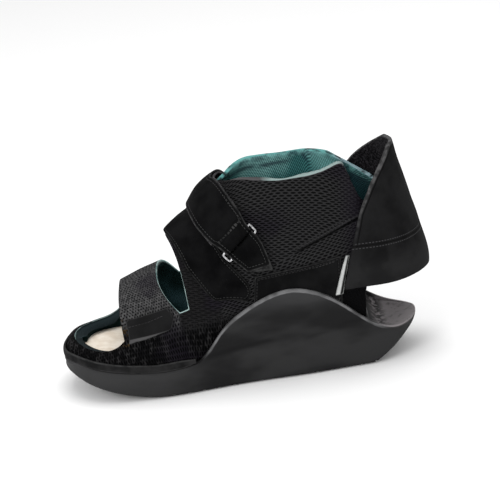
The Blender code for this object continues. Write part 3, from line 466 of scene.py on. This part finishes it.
def makeLining():
    settings = {
        "deep": (0.0080, 0.0368, 0.0416), "dark": (0.0192, 0.0768, 0.0832), "middle": (0.0672, 0.240, 0.237),
        "light": (0.320, 0.640, 0.608), "shade": (0.0048, 0.0136, 0.0136), "plum": (0.0160, 0.0128, 0.0224),
        "navyShade": (0.0180, 0.0360, 0.0500), "roll": (0.170, 0.400, 0.385), "slot": (0.0290, 0.0610, 0.0740),
        "slope": -32, "linePitch": 1.5, "crossPitch": 2.4, "rollWidth": (5.5, 3.0),
        "fold": ((60.5, 160.0), (68.5, 140.0)), "foldStart": (1.0, 4.0), "hollowStart": (60.0, 40.0),
        "rearHollow": (88.0, 95.0), "rearHollowStart": (4.0, 6.5),
        "puffSpan": ((64.0, 70.0), (92.0, 84.0)), "puffRise": (140.0, 150.0), "down": (150.0, 112.0),
        "rear": (78.0, 92.0), "rearSide": (8.0, -10.0), "front": (-10.0, -30.0),
        "slotSpan": ((-84.0, -76.0), (-20.0, -36.0)), "toe": (-82.0, -94.0), "roughness": 0.9, "gloss": 0.04,
    }
    sheet = NodeSheet("tealLining")
    x, y, z = sheet.places()
    v = sheet.less(z, sheet.math("ABSOLUTE", y))
    a, b = sheet.turned(x, v, settings["slope"])
    lines = sheet.math("SINE", sheet.times(a, 2 * math.pi / settings["linePitch"]))
    cross = sheet.math("SINE", sheet.times(b, 2 * math.pi / settings["crossPitch"]))
    weave = sheet.add(lines, sheet.times(cross, 0.3))
    tone = sheet.ramp(weave, -1.3, 1.3)
    cloud = sheet.ramp(sheet.noise(30.0, 2.0, 0.5), 0.36, 0.64)
    dark = sheet.blend(cloud, settings["deep"], settings["dark"])
    light = sheet.blend(cloud, settings["middle"], settings["light"])
    colour = sheet.blend(tone, dark, light)
    apart = sheet.attribute("edgeApart")
    # painted highlight on the padded roll just inside the rim, broken by patches of painted shade
    roll = sheet.times(sheet.ramp(apart, *settings["rollWidth"]), 0.6)
    blotch = sheet.ramp(sheet.noise(95.0, 2.0, 0.6), 0.40, 0.60)
    colour = sheet.blend(roll, colour, sheet.blend(blotch, settings["navyShade"], settings["roll"]))
    # painted shade: a dark band in the hollow below the roll, a dark line in the fold and a dark hollow at
    # the back, made patchy
    hollowShade = sheet.times(sheet.band(apart, 8.0, 1.0, 2.5), sheet.ramp(x, *settings["hollowStart"]))
    fold = sheet.alongLine(x, z, *settings["fold"], 1.3, 1.6)
    hollowShade = sheet.most(hollowShade, sheet.times(fold, sheet.ramp(apart, *settings["foldStart"])))
    hollowShade = sheet.times(hollowShade, sheet.ramp(sheet.noise(60.0, 2.0, 0.6), 0.36, 0.56, (0.15, 1.0)))
    rearHollow = sheet.ramp(x, *settings["rearHollow"])
    hollowShade = sheet.most(hollowShade, sheet.times(rearHollow, sheet.ramp(apart, *settings["rearHollowStart"])))
    colour = sheet.blend(sheet.times(hollowShade, 0.85), colour, settings["navyShade"])
    # painted highlight on the puffed panel beside the fold
    puff = sheet.times(sheet.span(x, *settings["puffSpan"]), sheet.ramp(z, *settings["puffRise"]))
    colour = sheet.blend(sheet.times(puff, 0.40), colour, settings["roll"])
    # painted shade deep inside the upper
    down = sheet.ramp(z, *settings["down"])  # the inside darkens below the collar
    colour = sheet.blend(sheet.times(down, 0.85), colour, settings["deep"])
    rear = sheet.times(sheet.ramp(x, *settings["rear"]), sheet.ramp(y, *settings["rearSide"]))
    colour = sheet.blend(rear, colour, settings["plum"])
    # painted shade over the inside towards the toe, a little less deep inside the slot
    front = sheet.ramp(x, *settings["front"])
    colour = sheet.blend(front, colour, sheet.blend(cloud, settings["shade"], settings["deep"]))
    slot = sheet.times(sheet.span(x, *settings["slotSpan"]), cloud)
    colour = sheet.blend(slot, colour, settings["slot"])
    colour = sheet.blend(sheet.ramp(x, *settings["toe"]), colour, settings["shade"])
    sheet.colour(colour)
    sheet.fixed(settings["roughness"], settings["gloss"])
    sheet.raiseBy(weave, 0.35, 0.0005)
    return sheet.material


def makeBinding():
    settings = {
        "pale": (0.420, 0.560, 0.540), "deep": (0.110, 0.220, 0.215), "toeDark": (0.0160, 0.0260, 0.0290),
        "black": (0.0144, 0.0144, 0.0152), "grey": (0.0720, 0.0688, 0.0720), "teal": (0.115, 0.330, 0.315),
        "cool": (0.240, 0.350, 0.380), "ribPitch": 1.3, "collarStart": (-30.0, -20.0),
        "nearSide": (2.0, -6.0), "farSide": (-6.0, 2.0), "paleSpan": ((22.0, 34.0), (92.0, 84.0)),
        "paleInside": (0.4, 1.2), "coolStart": (78.0, 92.0), "toeStart": (-82.0, -90.0),
        "farToe": (-4.0, 10.0), "inside": (1.3, 2.0), "outerLine": (1.0, 0.3),
        "slotSpan": ((-84.0, -80.0), (-20.0, -28.0)), "roughness": 0.8, "gloss": 0.1,
    }
    sheet = NodeSheet("rimBinding")
    x, y, z = sheet.places()
    outer = sheet.attribute("outerApart")
    inside = sheet.ramp(outer, *settings["inside"])
    patchy = sheet.ramp(sheet.noise(120.0, 2.0, 0.6), 0.30, 0.55)
    rib = sheet.math("SINE", sheet.times(sheet.add(x, z), 2 * math.pi / settings["ribPitch"]))
    colour = sheet.blend(patchy, settings["deep"], settings["pale"])
    collar = sheet.ramp(x, *settings["collarStart"])
    nearCollar = sheet.times(collar, sheet.ramp(y, *settings["nearSide"]))
    colour = sheet.blend(nearCollar, colour, sheet.blend(patchy, settings["black"], settings["grey"]))
    paleRun = sheet.times(nearCollar, sheet.span(x, *settings["paleSpan"]))
    paleRun = sheet.times(sheet.times(paleRun, sheet.ramp(outer, *settings["paleInside"])), 0.6)
    colour = sheet.blend(paleRun, colour, settings["pale"])
    farCollar = sheet.times(collar, sheet.ramp(y, *settings["farSide"]))
    farTeal = sheet.blend(sheet.ramp(x, *settings["coolStart"]), settings["teal"], settings["cool"])
    colour = sheet.blend(farCollar, colour, sheet.blend(patchy, settings["toeDark"], farTeal))
    farToe = sheet.most(sheet.ramp(y, *settings["farToe"]), inside)
    # painted highlight: a thin pale line along the far toe rim's outer edge
    farLine = sheet.times(patchy, sheet.ramp(outer, *settings["outerLine"], (0.0, 0.6)))
    farTone = sheet.blend(farLine, settings["toeDark"], settings["pale"])
    colour = sheet.blend(sheet.times(sheet.ramp(x, *settings["toeStart"]), farToe), colour, farTone)
    slotInside = sheet.times(inside, sheet.span(x, *settings["slotSpan"]))
    colour = sheet.blend(sheet.times(slotInside, 0.8), colour, settings["toeDark"])
    sheet.colour(colour)
    sheet.fixed(settings["roughness"], settings["gloss"])
    sheet.raiseBy(sheet.add(sheet.times(rib, 0.5), sheet.noise(900.0, 2.0)), 0.4, 0.0005)
    return sheet.material


def makePadding():
    settings = {
        "low": (0.78, 0.68, 0.56), "high": (0.93, 0.85, 0.74), "edge": (0.42, 0.26, 0.10),
        "edgeShadeWidth": (3.5, 0.5), "roughness": 0.9, "gloss": 0.1,
    }
    sheet = NodeSheet("footbedCloth")
    mottled = sheet.ramp(sheet.noise(120.0, 2.0), 0.3, 0.7)
    colour = sheet.blend(mottled, settings["low"], settings["high"])
    # painted shade: the footbed turns brown towards its edges, where it meets the walls
    rim = sheet.ramp(sheet.attribute("edgeApart"), *settings["edgeShadeWidth"])
    colour = sheet.blend(rim, colour, settings["edge"])
    sheet.colour(colour)
    sheet.fixed(settings["roughness"], settings["gloss"])
    sheet.raiseBy(sheet.noise(900.0, 2.0), 0.3, 0.0006)
    return sheet.material


def makeRingMetal():
    settings = {"dull": (0.34, 0.34, 0.35), "bright": (0.62, 0.62, 0.63), "roughness": (0.16, 0.32)}
    sheet = NodeSheet("ringMetal")
    scratch = sheet.noise(700.0, 2.0, stretch=(1.0, 4.0, 1.0))
    sheet.colour(sheet.blend(sheet.ramp(scratch, 0.35, 0.65), settings["dull"], settings["bright"]))
    sheet.shader.inputs["Metallic"].default_value = 1.0
    sheet.link(sheet.ramp(scratch, 0.3, 0.7, settings["roughness"]), sheet.shader.inputs["Roughness"])
    sheet.raiseBy(scratch, 0.1, 0.0002)
    return sheet.material


def makeSlingCloth():
    settings = {
        "dark": (0.0062, 0.0062, 0.0065), "light": (0.0125, 0.0125, 0.0129), "edge": (0.0900, 0.0885, 0.0900),
        "low": (0.0190, 0.0190, 0.0194), "rim": (0.0032, 0.0032, 0.0032), "seam": (0.0048, 0.0048, 0.0048),
        "thread": (0.0560, 0.0560, 0.0576), "lowStart": (98.0, 78.0), "seamHeight": 101.0, "threadGap": 1.9,
        "frontRise": (92.0, 112.0), "boundWidth": (2.2, 1.5), "boundRise": (98.0, 150.0),
        "roughness": 0.85, "gloss": 0.04,
    }
    sheet = NodeSheet("slingCloth")
    x, y, z = sheet.places()
    cloud = sheet.ramp(sheet.noise(40.0, 3.0, 0.55), 0.34, 0.66)
    colour = sheet.blend(cloud, settings["dark"], settings["light"])
    low = sheet.times(sheet.ramp(z, *settings["lowStart"]), sheet.ramp(cloud, 0.0, 1.0, (0.4, 0.9)))
    colour = sheet.blend(low, colour, settings["low"])
    apart = sheet.attribute("edgeApart")
    # painted highlight along the sling's front edge, stronger higher up and broken into patches
    bound = sheet.times(sheet.ramp(apart, *settings["boundWidth"]), sheet.ramp(z, *settings["boundRise"]))
    patchy = sheet.ramp(sheet.noise(200.0, 2.0), 0.36, 0.62, (0.25, 0.9))
    colour = sheet.blend(sheet.times(bound, patchy), colour, settings["edge"])
    rim = sheet.times(sheet.band(apart, 3.1, 0.35, 0.3), sheet.ramp(z, *settings["frontRise"]))
    colour = sheet.blend(rim, colour, settings["rim"])
    seam = sheet.band(z, settings["seamHeight"], 0.5, 0.4)
    colour = sheet.blend(seam, colour, settings["seam"])
    fine = sheet.times(sheet.noise(2400.0, 2.0, 0.7), 0.25)
    height = sheet.add(fine, sheet.times(sheet.noise(150.0, 2.0), 0.4))
    for step in (-settings["threadGap"], settings["threadGap"]):
        beside = sheet.band(z, settings["seamHeight"] + step, 0.32, 0.2)
        thread = sheet.times(beside, sheet.dashes(sheet.add(x, y), 2.7, 0.6))
        colour = sheet.blend(thread, colour, settings["thread"])
        height = sheet.add(height, thread)
    height = sheet.less(height, sheet.times(sheet.add(rim, seam), 1.2))
    sheet.colour(colour)
    sheet.fixed(settings["roughness"], settings["gloss"])
    sheet.raiseBy(height, 0.6, 0.0007)
    return sheet.material


# camera, floor and light

def makeCamera():
    settings = {
        "lens": 143.73, "sensor": 36.0, "farthest": 60.0,
        "place": (0.00989284691, -1.49988388654, 0.61117694452),
        "right": (0.99223513, -0.04049294, -0.11760003), "up": (0.12437623, 0.32304016, 0.93817675),
    }
    data = bpy.data.cameras.new("photoCamera")
    camera = bpy.data.objects.new("photoCamera", data)
    bpy.context.scene.collection.objects.link(camera)
    data.lens = settings["lens"]
    data.sensor_width = settings["sensor"]
    data.clip_end = settings["farthest"]
    place, right, up = Vector(settings["place"]), Vector(settings["right"]), Vector(settings["up"])
    back = right.cross(up)
    camera.matrix_world = Matrix((
        (right.x, up.x, back.x, place.x),
        (right.y, up.y, back.y, place.y),
        (right.z, up.z, back.z, place.z),
        (0, 0, 0, 1),
    ))
    bpy.context.scene.camera = camera


def makeStage():
    settings = {"size": 24.0, "colour": (0.97, 0.97, 0.97, 1.0), "roughness": 0.9, "gloss": 0.1}
    dropSelection()
    bpy.ops.mesh.primitive_plane_add(size=settings["size"], location=(0, 0, 0))
    floor = bpy.context.object
    floor.name = "studioFloor"
    sheet = NodeSheet("studioPaper")
    sheet.colour(settings["colour"])
    sheet.fixed(settings["roughness"], settings["gloss"])
    floor.data.materials.append(sheet.material)


def addPanelLight(name, place, aim, size, power):
    data = bpy.data.lights.new(name, "AREA")
    data.shape = "RECTANGLE"
    data.size, data.size_y = size
    data.energy = power
    light = bpy.data.objects.new(name, data)
    bpy.context.scene.collection.objects.link(light)
    light.location = place
    light.rotation_euler = (Vector(aim) - Vector(place)).to_track_quat("-Z", "Y").to_euler()


def makeLight():
    settings = {
        "air": 0.77,
        # name, place, aim, size, power
        "panels": (("topLight", (0.10, 0.20, 2.0), (0, 0, 0.05), (1.3, 1.1), 16.0),
                   ("frontLight", (-0.9, -1.2, 0.9), (0, 0, 0.08), (0.8, 0.8), 9.0)),
    }
    world = bpy.data.worlds.new("studioAir")
    bpy.context.scene.world = world
    world.use_nodes = True
    world.node_tree.nodes["Background"].inputs["Color"].default_value = (1, 1, 1, 1)
    world.node_tree.nodes["Background"].inputs["Strength"].default_value = settings["air"]
    for panel in settings["panels"]:
        addPanelLight(*panel)
    bpy.context.scene.view_settings.view_transform = "Standard"


makeCamera()
makeStage()
makeLight()
print("camera, floor and light made")

clothFinishes = {
    "bandCloth": {
        "dark": (0.0022, 0.0022, 0.0024), "light": (0.0062, 0.0062, 0.0065),
        "edge": (0.9, (0.0192, 0.0192, 0.0192)), "stitches": ((2.2, (0.0320, 0.0320, 0.0320)),),
    },
    "strapCloth": {
        "dark": (0.0024, 0.0024, 0.0026), "light": (0.0064, 0.0064, 0.0067),
        "edge": (1.0, (0.0400, 0.0400, 0.0400)), "stitches": ((3.2, (0.0416, 0.0416, 0.0416)),),
    },
    "panelCloth": {
        "dark": (0.0042, 0.0042, 0.0044), "light": (0.0086, 0.0086, 0.0089),
        "edge": (0.8, (0.0256, 0.0256, 0.0256)), "stitches": ((2.0, (0.0320, 0.0320, 0.0320)),),
    },
    "hookCloth": {
        "dark": (0.0070, 0.0070, 0.0072), "light": (0.0110, 0.0110, 0.0113), "gloss": 0.06, "rough": 0.8,
        "edge": (0.7, (0.0300, 0.0300, 0.0305)),
        # painted highlight on the tab's rolled lower lip
        "lipHighlight": ((-94.0, 51.4), (-58.0, 56.4), (0.0720, 0.0710, 0.0720)),
    },
    "loopCloth": {
        "dark": (0.0064, 0.0058, 0.0067), "light": (0.0144, 0.0136, 0.0152), "pile": 620.0,
        "tuft": (0.0544, 0.0512, 0.0560), "strength": 1.0, "edge": (0.8, (0.0960, 0.0928, 0.0960)),
    },
    "randCloth": {
        "dark": (0.0090, 0.0090, 0.0093), "light": (0.0230, 0.0225, 0.0230),
        "edge": (0.8, (0.0360, 0.0360, 0.0360)), "cloudScale": 70.0,
    },
    "threadBlack": {"dark": (0.0200, 0.0200, 0.0204), "light": (0.0480, 0.0470, 0.0480)},
    "greyTape": {
        "dark": (0.38, 0.39, 0.385), "light": (0.60, 0.61, 0.60), "edge": (0.5, (0.30, 0.31, 0.30)),
        "shaded": ((75.2, 62.0), (84.6, 93.0), (0.012, 0.012, 0.012)),
    },
}
finishes = {name: makeCloth(name, settings) for name, settings in clothFinishes.items()}
finishes["soleRubber"] = makeSoleRubber()
finishes["bootieMesh"] = makeBootieMesh()
finishes["tealLining"] = makeLining()
finishes["rimBinding"] = makeBinding()
finishes["footbedCloth"] = makePadding()
finishes["slingCloth"] = makeSlingCloth()
finishes["ringMetal"] = makeRingMetal()
print("finishes made:", len(finishes))


# soft shape: folds placed in side view, in mm, that all the layers of the upper follow together

foldRows = (
    # line in side view, half width, height (a trough is below 0), side (-1 near, 1 far, 0 both)
    (((48.8, 103.1), (71.6, 113.8), (93.8, 118.9)), 4.0, -1.3, 0),
    (((40.0, 112.0), (66.0, 122.0), (90.0, 128.0)), 6.5, 1.0, 0),
    (((22.0, 126.0), (44.0, 118.0), (60.0, 119.0)), 6.0, -0.9, 0),
    (((24.0, 150.0), (50.0, 142.0), (84.0, 146.0)), 6.0, -0.9, 0),
    (((34.0, 152.0), (60.0, 151.0), (80.0, 156.0)), 4.5, 0.9, 0),
    (((14.0, 99.0), (34.0, 96.0), (60.0, 100.0)), 4.0, 0.9, 0),
    (((-42.6, 64.0), (-36.2, 53.4), (-31.3, 42.6)), 3.2, 1.2, 0),
    (((-48.0, 58.0), (-42.0, 49.0), (-37.0, 40.0)), 3.0, -1.2, 0),
    (((-58.0, 50.0), (-54.0, 43.0), (-50.0, 38.0)), 3.0, 0.9, 0),
    (((-36.0, 92.0), (-28.0, 76.0), (-21.0, 62.0)), 3.5, -0.9, 0),
    (((-30.0, 84.0), (-18.0, 66.0), (-12.0, 56.0)), 4.5, 0.8, 0),
    (((-86.0, 47.0), (-88.0, 38.0)), 3.0, -0.9, 0),
    (((-74.0, 46.0), (-75.0, 36.0)), 3.0, 0.8, 0),
    (((-100.0, 46.0), (-101.0, 37.0)), 3.0, 0.7, 0),
    (((-64.0, 47.0), (-63.0, 37.0)), 3.0, -0.9, 0),
    (((-90.0, 84.0), (-74.0, 88.0), (-60.0, 84.0)), 5.0, -0.7, 0),
)

softness = {
    "quietInstep": (4, 16), "heldFoot": (26, 38), "belly": 0.075, "lumps": ((38.0, 0.55), (85.0, 0.25)),
}


def softOffset(place):
    x, z = place.x / mm, place.z / mm
    side = 1 if place.y > 0 else -1
    amount = 0.0
    for line, width, height, onSide in foldRows:
        if onSide in (0, side):
            away = farFromLine(x, z, line)
            if away < 3 * width:
                amount += height * bell(0, width, away)
    fade = smoothStep(*softness["quietInstep"], abs(place.y) / mm)  # the two sides meet quietly on top
    lumps = sum(noise.noise(place * scale) * share for scale, share in softness["lumps"])
    outward = Vector((0.0, place.y, max(0.0, place.z - softness["belly"])))
    if outward.length < 1e-5:
        return Vector()
    low = smoothStep(*softness["heldFoot"], z)  # the foot stays where the sole holds it
    return outward.normalized() * (amount * fade + lumps) * low * mm


def soften(piece):
    for vertex in piece.data.vertices:
        vertex.co += softOffset(vertex.co)


def sortWall(piece):  # outer face, inner face and rims, parted by sharp edges
    limit = math.radians(44)
    shape = bmesh.new()
    shape.from_mesh(piece.data)
    shape.faces.ensure_lookup_table()
    groups, seen = [], set()
    for face in shape.faces:
        if face.index in seen:
            continue
        group, waiting = [], [face]
        seen.add(face.index)
        while waiting:
            here = waiting.pop()
            group.append(here)
            for edge in here.edges:
                if len(edge.link_faces) == 2 and edge.calc_face_angle(0.0) < limit:
                    for other in edge.link_faces:
                        if other.index not in seen:
                            seen.add(other.index)
                            waiting.append(other)
        groups.append((sum(item.calc_area() for item in group), [item.index for item in group]))
    shape.free()
    groups.sort(reverse=True)
    for number, (area, found) in enumerate(groups):
        for index in found:
            piece.data.polygons[index].material_index = min(number, 2)
    print(piece.name, "faces parted into", len(groups), "groups")


def addFinishes(piece, names):
    for name in names:
        piece.data.materials.append(finishes[name])


def makeSole():
    settings = {
        # line in side view, width, depth
        "troughs": ((((-39, 28), (-11, 30.5), (12, 34), (36, 35)), 4.5, 0.9),
                    (((46, 32), (60, 34.3), (98, 42)), 5.0, 0.8),
                    (((-79, 22.6), (-58, 22.3)), 1.8, 0.5),
                    (((56, 8), (68, 10), (84, 12)), 4.0, 0.5)),
        "aboveFloor": 6, "flankFacing": (0.6, 0.85),
    }
    piece = copyOfNode("sole", "moulded_sole", levels=2, sharpness=25)
    for vertex in piece.data.vertices:
        x, z = vertex.co.x / mm, vertex.co.z / mm
        facing = abs(vertex.normal.y)
        if facing > settings["flankFacing"][0] and z > settings["aboveFloor"]:
            depth = sum(d * bell(0, width, farFromLine(x, z, line)) for line, width, d in settings["troughs"])
            depth *= smoothStep(*settings["flankFacing"], facing)
            vertex.co.y -= math.copysign(depth * mm, vertex.normal.y)
    addFinishes(piece, ["soleRubber"])


def innerVertices(piece, number):
    found = set()
    for polygon in piece.data.polygons:
        if polygon.material_index == number:
            found.update(polygon.vertices)
    return found


def shapeBootie():
    settings = {
        "toePad": 7.5, "toePadFar": 13.0, "toePadDepth": 8.0, "toeRim": 44.0, "toeMiddle": -96.0,
        "toeStart": (-84, -97), "collarPad": 2.4, "collarRise": (128, 146),
        "puff": 5.0, "puffRise": (62.5, 68), "puffFall": (100, 86),
        "puffHeight": (128, 140), "puffSide": (8, 20),
    }
    piece = bpy.data.objects["bootie"]
    vertices = piece.data.vertices
    for index in innerVertices(piece, 1):
        vertex = vertices[index]
        x, y, z = vertex.co / mm
        if x < settings["toeStart"][0]:
            depth = smoothStep(0, settings["toePadDepth"], settings["toeRim"] - z)
            depth *= smoothStep(*settings["toeStart"], x)
            inward = Vector((max(0.0, settings["toeMiddle"] - x), -y, 0.0))
            if inward.length > 1:
                reach = settings["toePadFar" if y > 0 else "toePad"]
                vertex.co += inward.normalized() * depth * reach * mm
        elif x > 0 and z > settings["collarRise"][0]:
            lumps = noise.noise(vertex.co * 60.0)
            swell = settings["collarPad"] * smoothStep(*settings["collarRise"], z)
            if y > 0:
                puff = smoothStep(*settings["puffRise"], x) * smoothStep(*settings["puffFall"], x)
                puff *= smoothStep(*settings["puffHeight"], z) * smoothStep(*settings["puffSide"], y)
                vertex.co.y -= (swell + settings["puff"] * puff) * (0.8 + 0.5 * lumps) * mm
            else:
                vertex.co += vertex.normal * swell * (0.7 + 0.6 * lumps) * mm
    soften(piece)


def writeOuterMeasure(piece):  # how far each point lies from the rims' outer edge, in mm
    outer, rims = innerVertices(piece, 0), innerVertices(piece, 2)
    edge = sorted(outer & rims)
    tree = KDTree(len(edge))
    for index in edge:
        tree.insert(piece.data.vertices[index].co, index)
    tree.balance()
    measure = piece.data.attributes.new("outerApart", "FLOAT", "POINT")
    for vertex in piece.data.vertices:
        measure.data[vertex.index].value = tree.find(vertex.co)[2] / mm


def makeUpper():
    piece = copyOfNode("upper", "bootie", levels=2, sharpness=40, crease=0.55, sort=sortWall)
    addFinishes(piece, ["bootieMesh", "tealLining", "rimBinding"])
    writeOuterMeasure(piece)
    shapeBootie()


def makeSling():
    settings = {"middle": 0.105, "lumps": ((30.0, 0.8), (70.0, 0.3))}
    piece = copyOfNode("heel_sling", "heel_cradle", levels=2, sharpness=40, crease=0.6, sort=sortWall)
    addFinishes(piece, ["slingCloth", "loopCloth", "slingCloth"])
    for vertex in piece.data.vertices:
        place = vertex.co
        lumps = sum(noise.noise(place * scale) * share for scale, share in settings["lumps"])
        outward = Vector((place.x - settings["middle"], place.y, 0.0))
        vertex.co += outward.normalized() * lumps * mm


def makeFootbed():
    piece = copyOfNode("insole", "footbed", levels=2, sharpness=40, crease=0.4)
    addFinishes(piece, ["footbedCloth"])


def makeStitch():  # one thread stitch, lying along X
    settings = {"length": 1.7, "radius": 0.27, "sides": 6, "sink": 0.10, "end": (1.18, 0.45, 0.45)}
    dropSelection()
    bpy.ops.mesh.primitive_cylinder_add(
        vertices=settings["sides"], radius=settings["radius"] * mm, depth=settings["length"] * mm,
        rotation=(0, math.pi / 2, 0))
    stitch = bpy.context.object
    bpy.ops.object.transform_apply(location=True, rotation=True, scale=True)
    bpy.ops.object.mode_set(mode="EDIT")
    bpy.ops.mesh.select_mode(type="FACE")
    bpy.ops.mesh.select_all(action="DESELECT")
    bpy.ops.object.mode_set(mode="OBJECT")
    for polygon in stitch.data.polygons:
        polygon.select = abs(polygon.normal.x) > 0.9
    bpy.ops.object.mode_set(mode="EDIT")
    bpy.ops.mesh.extrude_region_move(TRANSFORM_OT_translate={"value": (0, 0, -settings["sink"] * mm)})
    bpy.ops.transform.resize(value=settings["end"])
    bpy.ops.object.mode_set(mode="OBJECT")
    bpy.ops.object.shade_smooth()
    return stitch


def castOnto(carrier, corners, pitch, side):  # places on a piece under a side-view line, with their normals
    corner, facets = [v.co for v in carrier.data.vertices], [p.vertices for p in carrier.data.polygons]
    tree = BVHTree.FromPolygons(corner, facets)
    found, left = [], 0.0
    for (ax, az), (bx, bz) in zip(corners, corners[1:]):
        length = math.hypot(bx - ax, bz - az)
        while left < length:
            x, z = ax + (bx - ax) * left / length, az + (bz - az) * left / length
            start = Vector((x * mm, side * 0.2, z * mm))
            place, normal, number, distance = tree.ray_cast(start, Vector((0, -side, 0)))
            if place and normal.y * side > 0.15:
                found.append((place, normal))
            left += pitch
        left -= length
    return found


def sewRow(pieceName, found, finish):
    settings = {"longestStep": 6.0, "rise": 0.05}
    stitch = makeStitch()
    copies = []
    for (here, normal), (there, other) in zip(found, found[1:]):
        run = there - here
        if run.length > settings["longestStep"] * mm:
            continue
        along = (run - normal * run.dot(normal)).normalized()
        across = normal.cross(along)
        one = bpy.data.objects.new(pieceName, stitch.data.copy())
        bpy.context.scene.collection.objects.link(one)
        place = here + normal * settings["rise"] * mm
        one.matrix_world = Matrix((
            (along.x, across.x, normal.x, place.x),
            (along.y, across.y, normal.y, place.y),
            (along.z, across.z, normal.z, place.z),
            (0, 0, 0, 1),
        ))
        copies.append(one)
    bpy.data.objects.remove(stitch)
    dropSelection()
    for one in copies:
        one.select_set(True)
    row = copies[0]
    bpy.context.view_layer.objects.active = row
    bpy.ops.object.join()
    bpy.ops.object.transform_apply(location=True, rotation=True, scale=True)
    row.name = pieceName
    row.data.materials.append(finishes[finish])
    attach(row, rootBody)


makeSole()
print("sole made")
makeUpper()
print("bootie made")
makeSling()
makeFootbed()
print("sling and footbed made")

layers = {
    # node: piece, finish, slot, levels, whether it follows the folds
    "toe_rand": ("pleated_rand", "randCloth", "mesh_black", 2, False),
    "rear_gusset": ("heel_gusset", "loopCloth", "mesh_black", 2, False),
    "instep_band": ("smooth_band", "bandCloth", "smooth_black", 2, True),
    "quarter_panel_near": ("lower_panel_near", "panelCloth", "smooth_black", 2, True),
    "quarter_panel_far": ("lower_panel_far", "panelCloth", "smooth_black", 2, True),
    "toe_strap_tab": ("hook_tab", "hookCloth", "smooth_black", 2, True),
    "strap_loop_pad": ("loop_layer", "loopCloth", "loop_black", 2, True),
    "instep_strap": ("folded_strap", "strapCloth", "smooth_black", 2, True),
    "strap_ring": ("wire_ring", "ringMetal", "ring_steel", 1, True),
    "ring_anchor": ("ring_keeper", "strapCloth", "smooth_black", 2, True),
    "grey_flag": ("grey_tape", "greyTape", "flag_grey", 2, True),
}
for nodeName, (pieceName, finish, slotName, levels, follows) in layers.items():
    made = copyOfNode(nodeName, pieceName, levels, 60 if finish != "ringMetal" else None, 0.75)
    made.data.materials.append(finishes[finish])
    if follows:
        soften(made)
print("straps and small pieces made")

seamLine = ((46.0, 105.5), (70.0, 116.0), (94.0, 123.0))
panelLine = ((14.0, 84.0), (38.0, 86.0), (61.0, 87.5), (76.0, 90.0))
stitchRows = {
    # row: piece sewn, side (-1 near, 1 far), pitch in mm, corners in side view
    "strap_back_stitches": ("folded_strap", -1, 2.7, ((-4.5, 151.0), (2.0, 140.0), (8.0, 131.0))),
    "quarter_seam_near": ("bootie", -1, 2.7, seamLine),
    "quarter_seam_far": ("bootie", 1, 2.7, seamLine),
    "panel_stitches_near": ("lower_panel_near", -1, 2.7, panelLine),
    "panel_stitches_far": ("lower_panel_far", 1, 2.7, panelLine),
    "hook_tab_stitches": ("hook_tab", -1, 2.6, ((-90.0, 62.0), (-76.0, 64.5), (-61.0, 69.0))),
}
for rowName, (carrierName, side, pitch, corners) in stitchRows.items():
    found = castOnto(bpy.data.objects[carrierName], corners, pitch, side)
    sewRow(rowName, found, "threadBlack")
print("rows of stitches made:", len(stitchRows))

bpy.context.view_layer.update()
